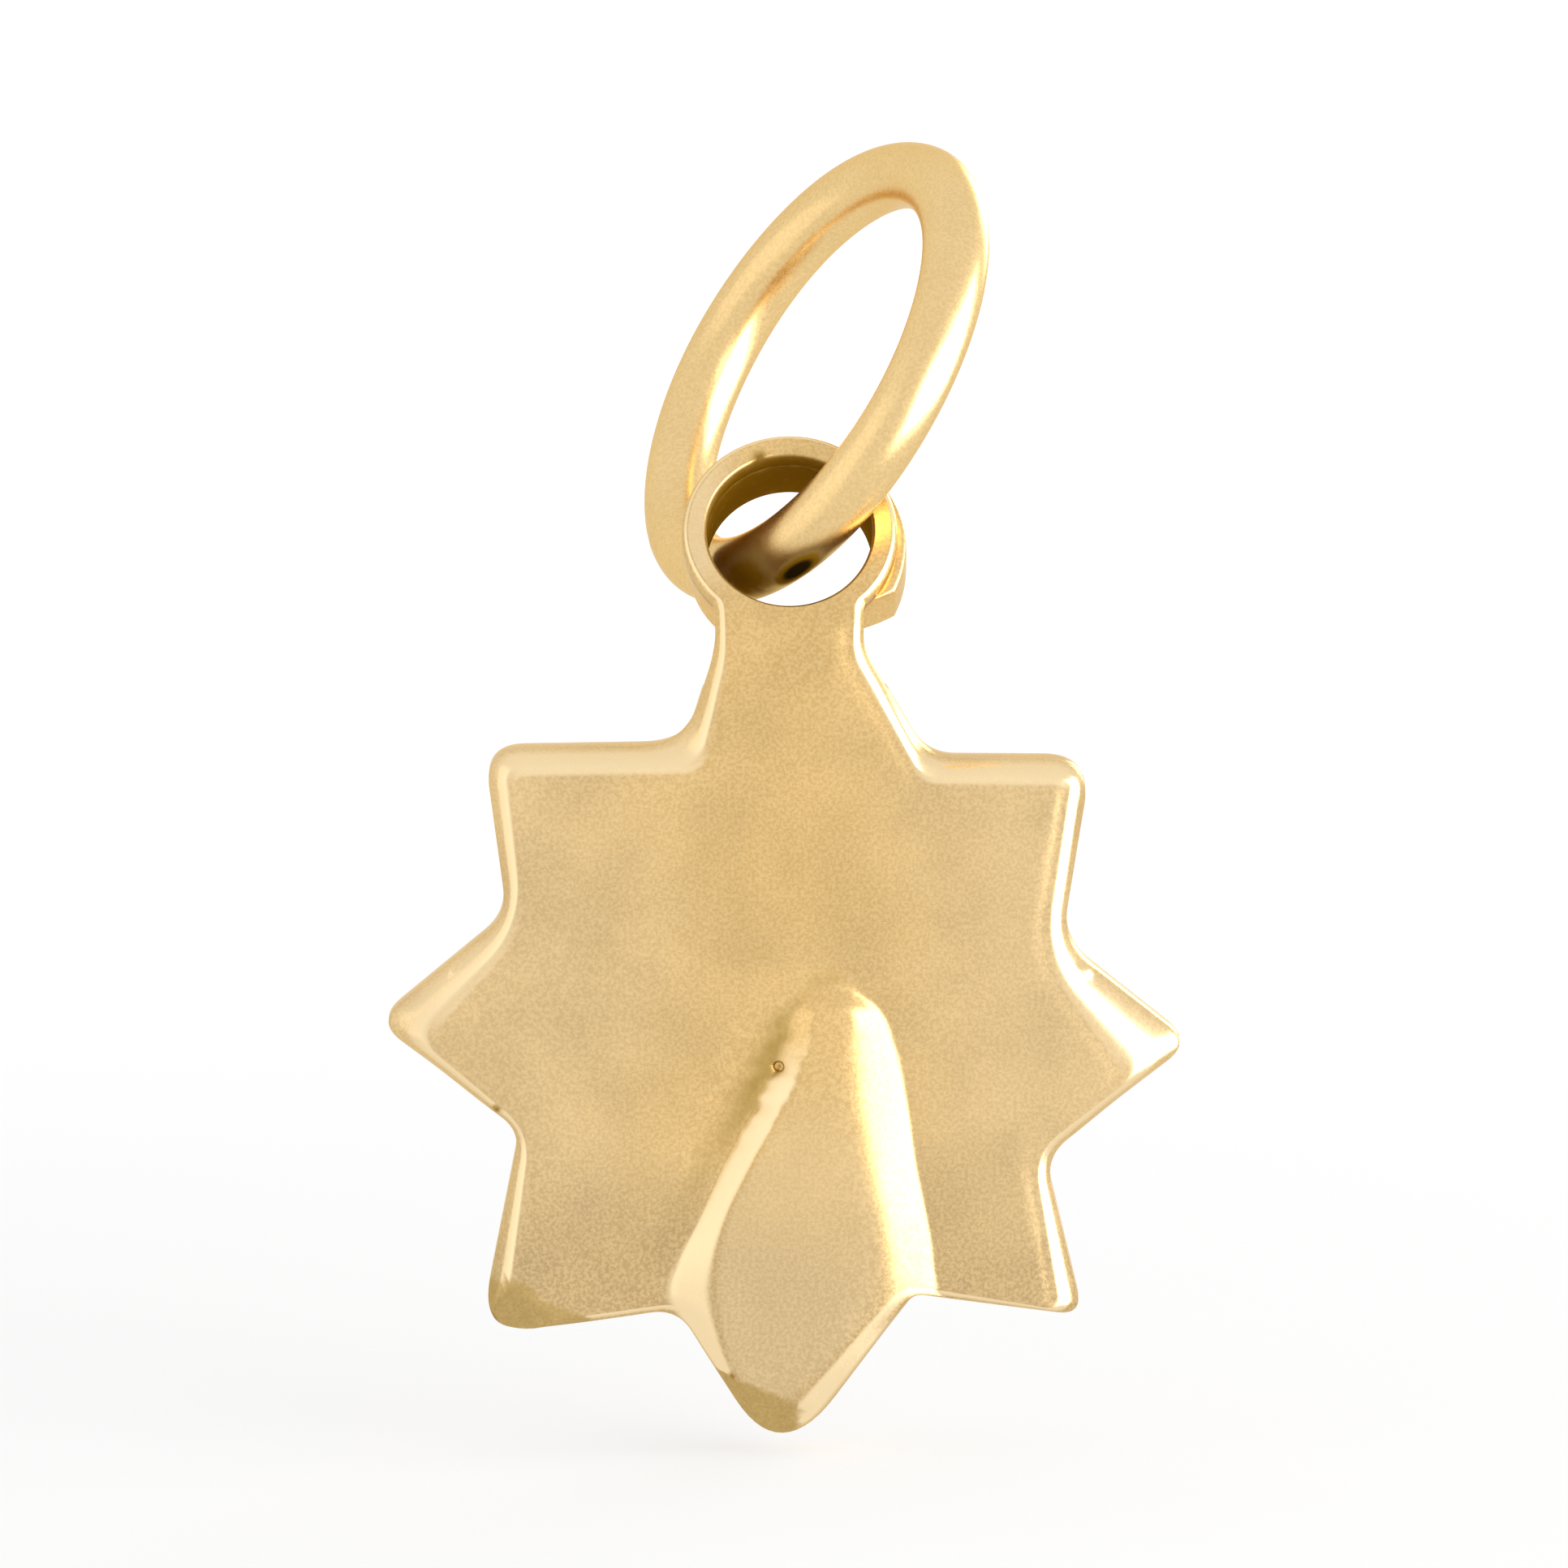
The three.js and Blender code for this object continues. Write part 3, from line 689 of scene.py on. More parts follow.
def up_flanks(x, z):
    """How far up the left and the right flank a point lies: 0 at the foot and 1 at the crown."""
    left_foot, left_crown, right_crown, right_foot = rib_lines(z)
    up_left = (x - left_foot) / np.maximum(left_crown - left_foot, 0.05)
    return up_left, (right_foot - x) / np.maximum(right_foot - right_crown, 0.05)


def rib_depth(x, z):
    """Depth of the rib's surface: negative above the face, and ever deeper beside and beyond the rib."""
    up_left, up_right = up_flanks(x, z)
    rise = np.maximum(RIB_SINK + RIB_HEIGHT * through_stations(z, stations[:, 5]), 0.004)
    beyond = np.maximum(z - 1.1, 0) + np.maximum(-6.1 - z, 0)
    return RIB_SINK - rise * np.minimum(ramp(up_left, LEFT_SOFT), ramp(up_right, RIGHT_SOFT)) + 3 * beyond


def rib_light(x, z):
    """Painted highlight on the rib: full on its left flank and on the lower end of its right slope, and some on its
    crown.
    """
    up_left, up_right = up_flanks(x, z)
    left = smooth_step(0, 0.2, up_left) * smooth_step(1.05, 0.85, up_left) * smooth_step(0.2, -0.8, z)
    right = smooth_step(0, 0.2, up_right) * smooth_step(1.1, 0.75, up_right) * smooth_step(-4.0, -4.6, z)
    crown = smooth_step(0.95, 1.3, up_left) * smooth_step(0.95, 1.3, up_right) * smooth_step(0, -2.0, z)
    return np.maximum(np.maximum(left, right), 0.3 * crown)


print("feet and crown of the rib at z = -3", [round(float(x), 2) for x in rib_lines(-3.0)])


# %% Face, nicks and ground spots
def face_depth(x, z):
    """Depth of the polished face without its rib: slow waves and the hollow left of the rib."""
    waves = 0.012 * np.sin(0.55 * x + 0.3 * z + 0.4) + 0.008 * np.sin(1.1 * z - 0.5 * x + 2)
    left_foot = rib_lines(z)[0]
    beside = bell(x - left_foot + 0.36, 0.4)
    return 0.012 + waves * 0.6 + 0.035 * beside * smooth_step(-3.0, -1.6, z) * smooth_step(0.9, 0.1, z)


def nicks(x, z):
    """Marks for small nicks where residue has stayed: two on the turned edge and one on the eye's lip."""
    spots = [(-4.35, -1.05, 0.06), (-0.79, -5.1, 0.05), (-0.38, 9.13, 0.11)]
    return sum(0.8 * np.exp(-(((x - a) / r) ** 2) - ((z - b) / r) ** 2) for a, b, r in spots)


def ground_depth(x, z):
    """Depth of the two ground facets, deep outside them so that the deeper surface wins."""
    lower_left = 0.02 + 0.5 * (-3.86 - z) - 0.45 * np.maximum(x + 4.1, 0)
    bottom = -0.27 + 0.5 * (-5.12 - z) - 0.5 * np.maximum(np.abs(x + 0.25) - 0.35, 0)
    return np.minimum(np.maximum(lower_left, bottom), 0.42)


def ground_mark(x, z):
    """Residue on the two rough spots, whose mark also paints their darker reflection: a round one that fades to the
    right, and all left of a slanting line.
    """
    past = np.maximum(x + 4.0, 0)
    beyond_spot = np.hypot(x + 4.12, z + 4.16) - 0.5 - 0.05 * past
    lower_left = smooth_step(0.03, -0.03 - 0.3 * past, beyond_spot)
    below = -5.1 - 0.4 * (x + 0.8) - z
    bottom = smooth_step(-0.02, 0.03 + 0.1 * np.maximum(x + 0.6, 0), below) * smooth_step(0.26, 0.14, x)
    return 0.36 * np.maximum(lower_left, bottom)


print("depth of the face at its middle", round(float(face_depth(0.0, 0.0)), 3), "mm")

# %% Profile of the turned edge
SEAM_DEPTH, PAN_WALL, PAN_RIM, FACE_START = 0.55, 0.28, 0.45, 1.25
bevel_profile = np.vstack(
    [
        curve((0, 1.15), (0, 1.0), (0.05, 0.9), 3),
        curve((0.3, 0.5), (0.42, 0.31), (0.55, 0.235), 4),
        curve((0.85, 0.08), (1.0, 0), (FACE_START, 0), 5),
    ]
)
is_lobe = np.zeros(columns)
is_lobe[right_last:left_first] = 1
edge_width = np.linalg.norm(sheet_outline(share=1) - sheet_outline(), axis=1)
bevel_depth = np.where(is_lobe > 0, 0.1, np.clip(1.12 * edge_width, 0.12, 0.42))
tangent = unit(np.roll(outer, -3, 0) - np.roll(outer, 3, 0))
to_right, to_top = [np.clip(t, 0, 1) * (1 - is_lobe) for t in (tangent[:, 1], -tangent[:, 0])]
SMOOTHING = 15


def evened(values):
    """A running mean round the outline, with weights that fall off like a cosine."""
    weights = np.hanning(SMOOTHING) / np.hanning(SMOOTHING).sum()
    return np.convolve(np.pad(values, SMOOTHING // 2, "wrap"), weights, "valid")


bevel_depth, shoulder = evened(bevel_depth), 0.03 * evened(to_right)


def thickness(z):
    """Depth of the sheet's edge: the star's pan is deep, the neck is thin."""
    return SEAM_DEPTH - (SEAM_DEPTH - NECK_THICKNESS) * smooth_step(5.45, 5.95, z)


def row(outline, depth, residue_and_shade=0.0, polish=0.0):
    """One row of the grid as x, z, depth, the mark of residue and painted shade, and the painted highlight."""
    wide = np.broadcast_arrays(outline[:, 0], outline[:, 1], depth, residue_and_shade, polish)
    return np.stack(wide, axis=-1)


def pan_depth(z):
    """How deep the pan is hollowed: fully behind the star, and fading out below the neck."""
    return (SEAM_DEPTH - PAN_WALL) * (1 - smooth_step(4.2, 4.6, z))


print("turned edge", round(bevel_depth.min(), 3), "to", round(bevel_depth.max(), 3), "mm deep")

# %% Rows from the seam over the edge and the face
edge, near_edge = sheet_outline(), sheet_outline(0.03)
rows = [row(near_edge, thickness(near_edge[:, 1]), 0.35)]
rows += [row(edge, thickness(edge[:, 1]) - 0.04)]
for inset, drop in bevel_profile:
    line = sheet_outline(share=inset)
    x, z = line.T
    depth = drop * bevel_depth + shoulder
    ribbed = soft_lower(depth, rib_depth(x, z), 0.02)
    depth = np.minimum(depth, ribbed) if drop < 0.7 else depth
    mark = np.maximum(ground_mark(x, z), nicks(x, z))
    # A paler band in the turned edge, on the top edges and on the rib is painted highlight.
    light_line = smooth_step(0.4, 0.66, inset) * (1 - smooth_step(0.94, 1.08, inset))
    lit = np.maximum(rib_light(x, z), 0.9 * to_top) * smooth_step(0, 0.2, inset)
    polish = np.maximum(light_line, lit) * smooth_step(0.3, 0.05, mark)
    rows += [row(line, np.maximum(depth, ground_depth(x, z)), mark, polish)]

FACE_ROWS = 76
rim = sheet_outline(share=FACE_START)
ends = inner_curve(0.03, 0.05)
for share in np.linspace(0, 1, FACE_ROWS + 1)[1:]:
    line = rim + (ends - rim) * share
    x, z = line.T
    from_rim = np.linalg.norm(line - rim, axis=1)
    flat = face_depth(x, z) * smooth_step(0, 1.2, from_rim) * (1 - smooth_step(4.2, 5.6, z))
    flat = flat + shoulder * bell(from_rim, 0.22)
    whole = soft_lower(flat, rib_depth(x, z), 0.03)
    foot = rib_lines(z)[0]
    # crevice, above and shade paint shade along the rib's left foot, round its top and in the hollow beside it;
    # near_vent and the nicks are residue.
    crevice = bell(x - foot + 0.1, 0.17) * smooth_step(-1.6, -0.6, z) * smooth_step(1.2, 0.8, z)
    above = bell(z - 0.93, 0.12) * smooth_step(0.2, 0.5, x) * smooth_step(1.05, 0.75, x)
    shade = bell(x - foot + 0.22, 0.38) * smooth_step(-3.8, -1.2, z) * smooth_step(0.7, -0.2, z)
    near_vent = bell(np.hypot(x - VENT[0], z - VENT[1]), 0.11)
    stain_and_shade = 0.26 * np.maximum(crevice, above) + 0.26 * shade + 0.25 * near_vent + nicks(x, z)
    ground = ground_mark(x, z)
    # lit is painted highlight on the rib and on the left side of the lobe.
    lit = np.maximum(rib_light(x, z), 0.6 * smooth_step(-0.5, -1.3, x) * smooth_step(6.6, 7.4, z))
    residue_and_shade, polish = np.clip(np.maximum(stain_and_shade, ground), 0, 1), lit * smooth_step(0.3, 0.05, ground)
    rows += [row(line, np.maximum(whole, ground_depth(x, z)), residue_and_shade, polish)]
face_end = len(rows) - 1
print("rows of the edge and the face", len(rows))

# %% Rows down the bore and the vent, and back underneath
lip = rows[-1][:, 2]
bore_line, under_line = inner_curve(0, 0), inner_curve(0, 0.03)
under = thickness(under_line[:, 1])
inside = under - pan_depth(under_line[:, 1])
in_vent = bore_line[:, 1] < 1
# In the bore this mark paints shade; in the vent it is residue.
grime_and_shade = has_wall * np.where(in_vent, 0.22, 1)
rows += [row(bore_line, lip + np.where(in_vent, 0.015, 0.05), 0.8 * grime_and_shade)]
rows += [row(bore_line, lip + (inside - lip) * 0.6, grime_and_shade)]
rows += [row(bore_line, inside - 0.03, grime_and_shade), row(under_line, inside, 0.6 * grime_and_shade)]
wall_end = len(rows) - 1
pan = sheet_outline(PAN_RIM)
for share in np.linspace(0, 1, 11)[1:]:
    line = under_line + (pan - under_line) * share
    x, z = line.T
    hollow = pan_depth(z)
    rows += [row(line, thickness(z) - hollow + np.minimum(rib_depth(x, z), 0) * (hollow > 0.2))]
pan_rim = sheet_outline(PAN_RIM - 0.02)
rows += [row(pan_rim, thickness(pan_rim[:, 1]))]

sheet = np.stack(rows)
cells = grid_faces(len(rows), columns, ring_rows=True)
keep = np.ones(cells.shape[:2], bool)
keep[face_end:wall_end] = has_wall
points = bend(sheet[..., 0], sheet[..., 1], sheet[..., 2])
print("rows of the whole sheet", len(rows))

# %% [markdown]
# The vent is no clean hole: residue fills it to just below its lip. A small round plug follows the lip, with a
# shallow dish in it, so no deep black point shows. It lies far below the bend, so its points aren't bent.

# %% Residue in the vent, and the finished back plate
round_vent = np.r_[left_last - VENT_STEPS : columns, 0 : right_first + VENT_STEPS + 1]
plug_rim, plug_lip = bore_line[round_vent] - VENT, lip[round_vent]
# Share of the vent's radius, depth below its lip in mm, and residue
plug_profile = [(0, 0.09, 0.3), (0.98, 0.09, 0.4), (0.98, 0.022, 0.4), (0.88, 0.012, 0.35)]
plug_profile += [(0.6, 0.0, 0.3), (0.3, 0.012, 0.4), (0, 0.018, 0.45)]
plug = []
for share, drop, plug_mark in plug_profile:
    level = plug_lip.mean() + (plug_lip - plug_lip.mean()) * share + drop
    plug += [row(VENT + plug_rim * share, level, plug_mark)]
plug = np.stack(plug)
patches = [(points, cells[keep]), grid(plug[..., [0, 2, 1]])]
both = [np.concatenate([sheet[..., k].ravel(), plug[..., k].ravel()]) for k in (3, 4)]
marks = dict(zip(("residue_and_shade", "polish"), both))
back_plate = skin("back_plate_look", patches, marks)
finish_piece(back_plate, sheet_gold, "charm")

# %% [markdown]
# ## Eye collar
# A strip is curled round behind the eye, so that the thin lobe holds the ring over a longer bore. It is thin
# on one side and thick where the strip ends, and the end was cut square. Its cross-section is a rectangle
# with rounded edges, carried round the bore while its wall changes.

# %% Eye collar
THIN_WALL, THICK_WALL, COLLAR_END, COLLAR_STEP, COLLAR_TAPER = 0.28, 0.55, -28.0, 16.0, 0.6

sweep = 360 - COLLAR_STEP
around = np.concatenate([[0, 0.4, 0.8], np.linspace(0, sweep, 216)[1:-1], sweep - np.array([0.6, 0.3, 0])])
around = np.unique(np.concatenate([around, sweep + np.linspace(0, COLLAR_STEP, 17)[1:-1], [359.4, 359.7]]))
wall = THICK_WALL + (THIN_WALL - THICK_WALL) * np.minimum(1, around / sweep / COLLAR_TAPER)
step_share = np.clip((around - sweep) / COLLAR_STEP, 0, 1)
wall = wall + (THICK_WALL - THIN_WALL) * step_share**1.15
square = np.array([[0.0, 0.0], [1.0, 0.0], [1.0, 1.0], [0.0, 1.0]])
section = round_polygon(square, np.array([0.1, 0.13, 0.13, 0.08]), [5] * 4, [7] * 4)
radius = EYE_RADIUS + section[:, None, 0] * wall[None, :]
turn = np.radians(COLLAR_END + around)[None, :]
depth = NECK_THICKNESS + COLLAR_GAP + COLLAR_LENGTH * section[:, None, 1]
points = bend(NECK_SIDE + radius * np.cos(turn), EYE_Z + radius * np.sin(turn), depth)
# The inner face, round the bore, is darkened with painted shade.
inner_shade = np.clip(1 - section[:, None, 0] / 0.2, 0, 1) * np.ones_like(turn)
collar = skin("eye_collar_look", [grid(points, ring_rows=True)], {"residue_and_shade": inner_shade})
finish_piece(collar, sheet_gold, "charm")

# %% [markdown]
# ## Jump ring
# Round wire, bent to a ring and soldered shut. A circle is carried round a larger circle. A drawn wire isn't
# perfect: its thickness wavers a little, it is slightly flattened where the tongs held it, and the solder
# leaves a shallow ridge. Inside the eye the wire carries painted shade, brown with a black painted shadow,
# where it passes through the bore. Both fade with the angle along the wire and the angle round it.

# %% Jump ring
RING_STEPS, WIRE_STEPS, SEAM_AT = 320, 56, math.radians(205)

theta = np.linspace(0, 2 * np.pi, RING_STEPS, endpoint=False)[None, :]
phi = np.linspace(0, 2 * np.pi, WIRE_STEPS, endpoint=False)[:, None]
waver = 0.005 * np.sin(3 * theta + 1) + 0.004 * np.sin(5 * theta + 2 * phi) + 0.003 * np.sin(2 * phi + theta)
from_seam = np.abs((theta - SEAM_AT + np.pi) % (2 * np.pi) - np.pi) * RING_RADIUS
solder = 0.006 * bell(from_seam, 0.09) - 0.008 * bell(from_seam, 0.03)
thick = WIRE_RADIUS - 0.012 + waver * 0.7 + solder
reach = RING_RADIUS + thick * np.cos(phi)
points = (
    ring_centre
    + (reach * np.cos(theta))[..., None] * ring_up
    + (reach * np.sin(theta))[..., None] * ring_side
    + (thick * np.sin(phi) * np.ones_like(theta))[..., None] * ring_axis
)
seam_stain = 0.12 * bell(from_seam, 0.03) * np.ones_like(phi)
print("wire from", round(2 * thick.min(), 3), "to", round(2 * thick.max(), 3), "mm thick")

# %% Painted shadow on the wire inside the eye


def wire_shade_patch(strength, along, along_width, around, around_width):
    """Painted shade that fades from a place on the wire, given by its angles along and around the wire in degrees."""
    from_place = (phi - math.radians(around) + np.pi) % (2 * np.pi) - np.pi
    return strength * bell(theta - math.radians(along), along_width) * bell(from_place, around_width)


# A brown painted shade and a black painted shadow where the wire passes through the eye.
shadow_in_eye = np.maximum(wire_shade_patch(2, 140.5, 0.13, 15, 0.42), wire_shade_patch(1.1, 153, 0.18, -25, 1.0))
marks = {"residue_and_shade": np.maximum(seam_stain, shadow_in_eye)}
jump_ring = skin("jump_ring_look", [grid(points, ring_rows=True)], marks)
finish_piece(jump_ring, wire_gold, "ring")

# %% [markdown]
# ## Front plate
# The front shell carries a sunk cell in each petal, with narrow walls between the cells to hold the enamel.
# Each petal's territory is a closed line round it, and its cell is a smaller one. Lines from territory to
# cell, down the cell's wall and over its floor make the top, and a band round the star makes the side.

# %% Front plate outlines
FRONT_TOP, SEAM_Y, FLOOR_Y, RIM_Y = 5.3, 0.55, 0.95, 1.35
OUTER_WALL, PARTITION, CELL_INNER, CELL_CORNER, HUB, TOP_INSET = 0.3, 0.26, 1.62, 0.12, 1.2, 0.14
HALF_OUT, SIDE, HUB_ARC = 46, 30, 12

level_top = [neck_edge(notches[1], 1, FRONT_TOP), neck_edge(notches[2], -1, FRONT_TOP)]
front_corners = np.array([*right_points, *level_top, notches[2], *low_points])
front_cuts = np.array([*right_rounds, 0.05, 0.05, notch_round[2], *low_rounds])
ARC, RUN, CELL_ARC, CELL_RUN = 12, 20, 6, 12
top_edge = np.arange(len(front_corners)) == 4


def front_outline(inset):
    """The front star's outline, whose level top edge keeps its place."""
    moved = inset_polygon(front_corners, np.where(top_edge, 0, inset))
    return round_polygon(moved, front_cuts, [ARC] * len(moved), [RUN] * len(moved))


def stretch_line(line, steps):
    """The same line with equal steps along its length."""
    length = np.concatenate([[0], np.cumsum(np.linalg.norm(np.diff(line, axis=0), axis=1))])
    at = np.linspace(0, length[-1], steps + 1)
    return np.stack([np.interp(at, length, line[:, k]) for k in (0, 1)], axis=1)


def part(line, first, last, steps):
    """A stretch of a closed line between two of its points."""
    if last < first:
        last += len(line)
    return stretch_line(np.take(line, np.arange(first, last + 1), axis=0, mode="wrap"), steps)[:-1]


corner_mid = (ARC + RUN) * np.arange(len(front_corners)) + ARC // 2
# Which corner of the front each notch and each tip is
notch_mid = {0: 1, 1: 3, 2: 6, 3: 8, 4: 10, 5: 12, 6: 14, 7: 16}
tip_mid = {0: 0, 1: 2, 3: 7, 4: 9, 5: 11, 6: 13, 7: 15}


def petal_edge(i, inset):
    """The outer edge of petal i, from the notch before it to the notch after it."""
    line = front_outline(inset)
    first, last = corner_mid[notch_mid[(i - 1) % 8]], corner_mid[notch_mid[i]]
    middle_at = corner_mid[4] + ARC // 2 + RUN // 2 if i == TOP else corner_mid[tip_mid[i]]
    return np.vstack([part(line, first, middle_at, HALF_OUT), part(line, middle_at, last, HALF_OUT)])


def straight(first, last, steps):
    """Equal steps on a straight line, without its last point."""
    return first + (last - first) * np.linspace(0, 1, steps + 1)[:-1, None]


def territory(i, inset):
    """The closed line round petal i: outer edge, side, hub and side."""
    edge_line, next_line = petal_edge(i, inset), petal_edge((i + 1) % PETALS, inset)
    turns = [notch_turn[i], notch_turn[i - 1] - (360 if i == 0 else 0)]
    hub = polar(HUB, np.linspace(turns[0], turns[1], HUB_ARC + 1))
    sides = [straight(next_line[0], hub[0], SIDE), hub[:-1], straight(hub[-1], edge_line[0], SIDE)]
    return np.vstack([edge_line, *sides])


def cell_line(i, shrink):
    """The closed line round cell i, in step with its territory. shrink moves it inwards."""
    tip = np.array([0, FRONT_TOP]) if i == TOP else tips[i]
    before, after = notches[i - 1], notches[i]
    inner = [n / np.linalg.norm(n) * CELL_INNER for n in (before, after)]
    side, out = PARTITION / 2 + shrink, OUTER_WALL + shrink
    moved = inset_polygon(np.array([inner[0], before, tip, after, inner[1]]), [side, out, out, side, side])
    blunt = CELL_CORNER if i == TOP else max(CELL_CORNER, tip_round[i] - 0.6)
    cell_cuts = np.where(np.arange(5) == 2, blunt, CELL_CORNER)
    line = round_polygon(moved, cell_cuts, [CELL_ARC] * 5, [CELL_RUN] * 5)
    mid = (CELL_ARC + CELL_RUN) * np.arange(5) + CELL_ARC // 2
    spans = [(1, 2, HALF_OUT), (2, 3, HALF_OUT), (3, 4, SIDE), (4, 0, HUB_ARC), (0, 1, SIDE)]
    return np.vstack([part(line, mid[a], mid[b], steps) for a, b, steps in spans])


print("points round a territory and its cell", len(territory(0, TOP_INSET)), len(cell_line(0, 0)))


# %% Front plate
def raised(line, y):
    """A line of the front at depth y, as points."""
    return np.stack(np.broadcast_arrays(line[:, 0], y, line[:, 1]), axis=-1)


def petal_top(i):
    """Wall tops, cell wall and cell floor of petal i."""
    limit, cell = territory(i, TOP_INSET), cell_line(i, -0.03)
    rows = [raised(limit + (cell - limit) * s, RIM_Y - 0.012 * s**2) for s in (0, 0.35, 0.7, 0.92, 1)]
    rows += [raised(cell_line(i, -0.01), RIM_Y - 0.022), raised(cell_line(i, 0), RIM_Y - 0.05)]
    rows += [raised(cell_line(i, 0), FLOOR_Y)]
    centre = cell_line(i, 0).mean(0)
    rows += [raised(centre + (cell_line(i, 0) - centre) * s, FLOOR_Y) for s in (0.7, 0.35, 0)]
    return np.stack(rows)


patches = []
for i in range(PETALS):
    patches += [grid(petal_top(i))]
    hub_line = territory(i, TOP_INSET)[2 * HALF_OUT + SIDE : 2 * HALF_OUT + SIDE + HUB_ARC + 1]
    hub = np.stack([raised(hub_line * s, RIM_Y) for s in (1, 0.5, 0)])
    patches += [grid(hub, ring_columns=False)]
# Inset and depth of the lines round the star's side, from its top to the seam
band = [(TOP_INSET, RIM_Y), (0.115, 1.347), (0.095, 1.335), (0.078, 1.31), (0.06, 1.265), (0.04, 1.2)]
band += [(0.02, 1.11), (0.007, 1.01), (0, 0.9), (0, 0.8), (0.005, 0.7), (0.012, 0.63), (0.02, 0.585)]
band += [(0.035, SEAM_Y)]
side_rows = [raised(np.vstack([petal_edge(i, inset) for i in range(PETALS)]), y) for inset, y in band]
last_line = np.vstack([petal_edge(i, band[-1][0]) for i in range(PETALS)])
side_rows += [raised(last_line * s, SEAM_Y) for s in (0.6, 0.2, 0)]
patches += [grid(np.stack(side_rows))]
front_plate = skin("front_plate_look", patches)
finish_piece(front_plate, front_gold, "charm")

# %% [markdown]
# ## Enamel
# Each cell is filled with opaque cream enamel, fired until it flows: it climbs the wall a little, swells
# towards the middle of the petal and keeps a shallow crease along it. Fired glass has a wet gloss, faint
# clouds of tone and a few pin pores.

# %% Enamel material
CREAM, CREAM_DEEP, RIM_TONE, PORE_TONE = (0.86, 0.82, 0.72), (0.78, 0.72, 0.6), (0.62, 0.5, 0.33), (0.5, 0.4, 0.28)
ENAMEL_RELIEF = 0.02
enamel, maker = new_material("cream_enamel")
place = maker.place()
clouds = maker.noise(place, 1.1, 4.0, 0.6)
pores = maker.node("TexVoronoi", {"feature": "F1"}, {"Vector": place, "Scale": 3.4}, "Distance")
pore = 1 - pores.step(0.035, 0.075)
rim_mark = maker.node("Attribute", {"attribute_name": "residue_and_shade"}, out="Fac")
tone = maker.mix(clouds.step(0.35, 0.7), CREAM, CREAM_DEEP)
tone = maker.mix(0.5 * rim_mark, tone, RIM_TONE)
tone = maker.mix(0.6 * pore, tone, PORE_TONE)
height = 0.5 * maker.noise(place, 2.2, 2.0) - 0.6 * pore
gloss = 0.09 + 0.06 * maker.noise(place, 5.0, 2.0)
maker.surface({"Base Color": tone, "Roughness": gloss, "IOR": 1.52}, height, ENAMEL_RELIEF)
print("enamel nodes", len(enamel.node_tree.nodes))

# %% Enamel petals
ENAMEL_GAP, ENAMEL_EDGE, ENAMEL_CROWN = 0.006, 0.34, 0.12

for i in range(PETALS):
    rim_line = cell_line(i, ENAMEL_GAP)
    spine = polar(1.0, tip_turn[i] if i != TOP else 90)
    centre = rim_line.mean(0)
    rows = [raised(centre + 0 * rim_line, FLOOR_Y), raised(rim_line, FLOOR_Y)]
    marks = [np.zeros(len(rim_line)), np.full(len(rim_line), 1.0)]
    for share in np.linspace(0, 1, 27) ** 1.25:
        line = rim_line + (centre - rim_line) * share
        across = np.abs((line - centre) @ np.array([-spine[1], spine[0]]))
        swell = ENAMEL_CROWN * (1 - (1 - min(1, share * 1.6)) ** 2.4)
        meniscus = 0.03 * math.exp(-share / 0.03)
        crease = 0.035 * bell(across, 0.16) * smooth_step(0.1, 0.35, share)
        rows += [raised(line, FLOOR_Y + ENAMEL_EDGE + swell + meniscus - crease)]
        marks += [np.full(len(line), math.exp(-share / 0.035))]
    piece = skin(f"petal_enamel_{i + 1}_look", [grid(np.stack(rows))], {"residue_and_shade": np.stack(marks)})
    finish_piece(piece, enamel, "charm")

# %% [markdown]
# ## Centre of the flower
# A turned gold disc with a fine grooved edge covers the inner ends of the cells, and seven small gold balls
# are soldered on it. Both are profiles spun round an axis.


# %% Disc and granules
def spin(profile, centre, steps, waves=0, depth=0.0):
    """A profile of radius and height spun round an axis along Y. waves makes a beaded edge of that depth."""
    turn = np.linspace(0, 2 * np.pi, steps, endpoint=False)[None, :]
    radius, height = profile[:, 0, None], profile[:, 1, None]
    beads = depth * (np.abs(np.sin(waves * turn / 2)) - 1) * bell(radius - 1.24, 0.06)
    y = centre[1] + (height + beads * (height > 0.15)) * np.ones_like(turn)
    return np.stack([centre[0] + radius * np.cos(turn), y, centre[2] + radius * np.sin(turn)], axis=-1)


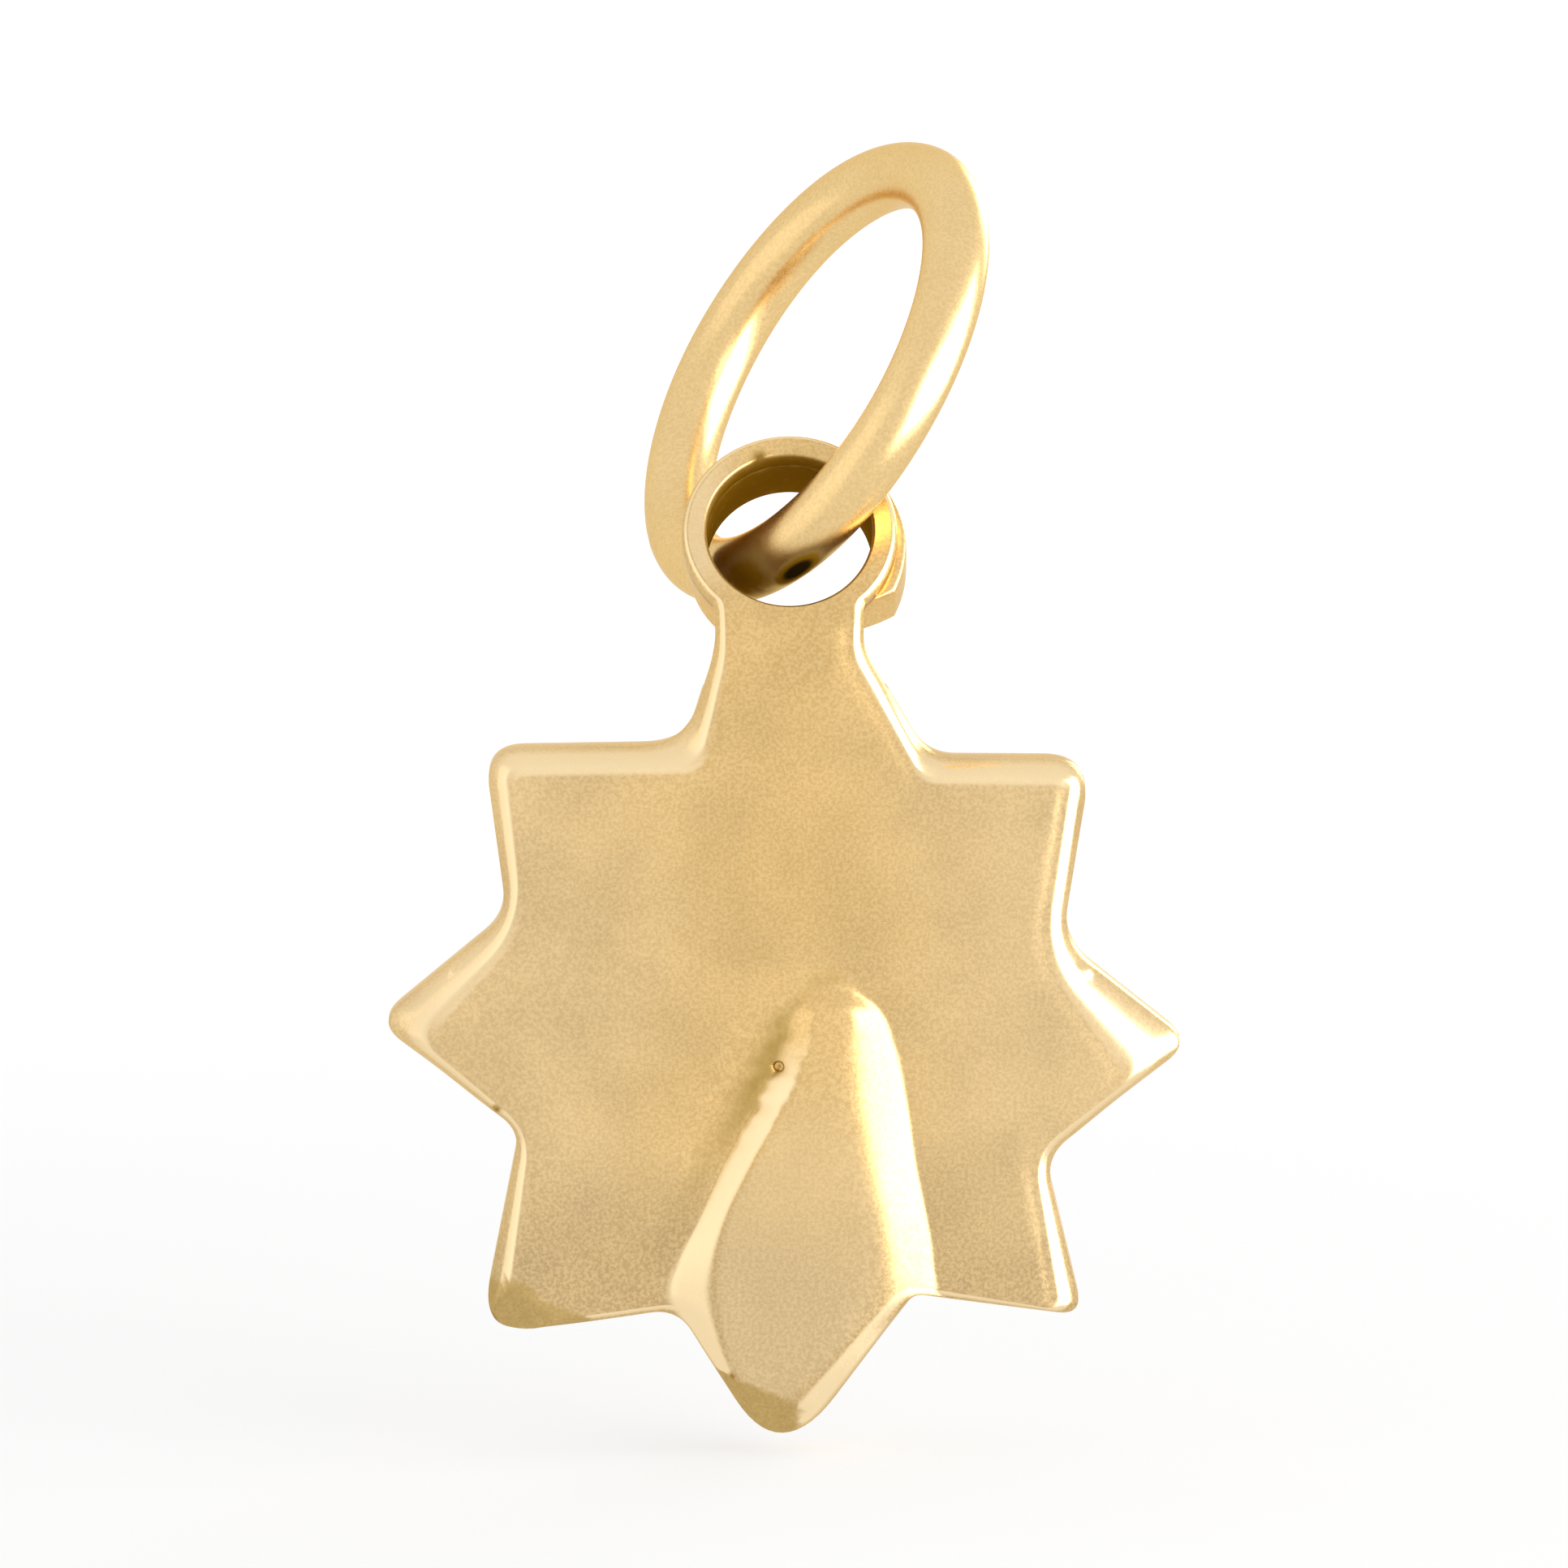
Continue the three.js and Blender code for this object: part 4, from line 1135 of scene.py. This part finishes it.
DISC_RADIUS, DISC_HEIGHT, GROOVES, GROOVE_DEPTH = 1.32, 0.2, 64, 0.03
GRANULE_RADIUS, GRANULE_HEIGHT, GRANULE_GAP, GRANULE_FOOT = 0.34, 0.42, 0.05, -0.012
disc_curves = [
    np.array([[0.0, 0.0], [1.28, 0.0]]),
    curve((1.3, 0), (DISC_RADIUS, 0), (DISC_RADIUS, 0.03), 3),
    curve((DISC_RADIUS, 0.1), (DISC_RADIUS, 0.195), (1.24, 0.195), 10),
    curve((1.2, 0.195), (1.13, 0.19), (1.12, 0.14), 8),
    curve((1.1, 0.12), (1.06, 0.12), (1.02, 0.14), 4),
    np.array([[0.9, 0.16], [0.6, 0.18], [0.3, 0.19], [0.0, 0.19]]),
]
spun = spin(np.vstack(disc_curves), np.array([0, RIM_Y, 0]), 384, GROOVES, GROOVE_DEPTH)
disc = skin("centre_disc_look", [grid(spun)])
finish_piece(disc, front_gold, "charm")

angle = np.radians(np.linspace(-8, 90, 22))
dome = np.stack([GRANULE_RADIUS * np.cos(angle), GRANULE_HEIGHT * np.sin(angle)], axis=1)
dome[:, 1] = np.maximum(dome[:, 1], GRANULE_FOOT)
dome[-1, 0] = 0
profile = np.vstack([[[0.0, GRANULE_FOOT]], dome])
spots = [np.zeros(2)] + [polar(2 * GRANULE_RADIUS + GRANULE_GAP, 60.0 * k) for k in range(6)]
for k, (x, z) in enumerate(spots):
    spun = spin(profile, np.array([x, RIM_Y + DISC_HEIGHT - 0.01, z]), 48)
    granule = skin(f"granule_{k}_look", [grid(spun)])
    finish_piece(granule, wire_gold, "charm")

# %% [markdown]
# ## Sizes
# The boxes of the solids and of the finished look are taken, and how far the look reaches beyond the solids is
# printed. The finished look has to stay inside the box of the solids.

# %% Compare the sizes and finish
scene.view_settings.view_transform = "Standard"
boxes = {"cad": [list(c) for c in cad_box], "visual": [list(c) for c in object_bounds()]}
low, high = [[boxes[box][end] for box in ("cad", "visual")] for end in (0, 1)]
over = [1000 * max(c - v, w - d) for c, v, d, w in zip(*low, *high)]
print("beyond the box of the solids in mm", [round(v, 4) for v in over])
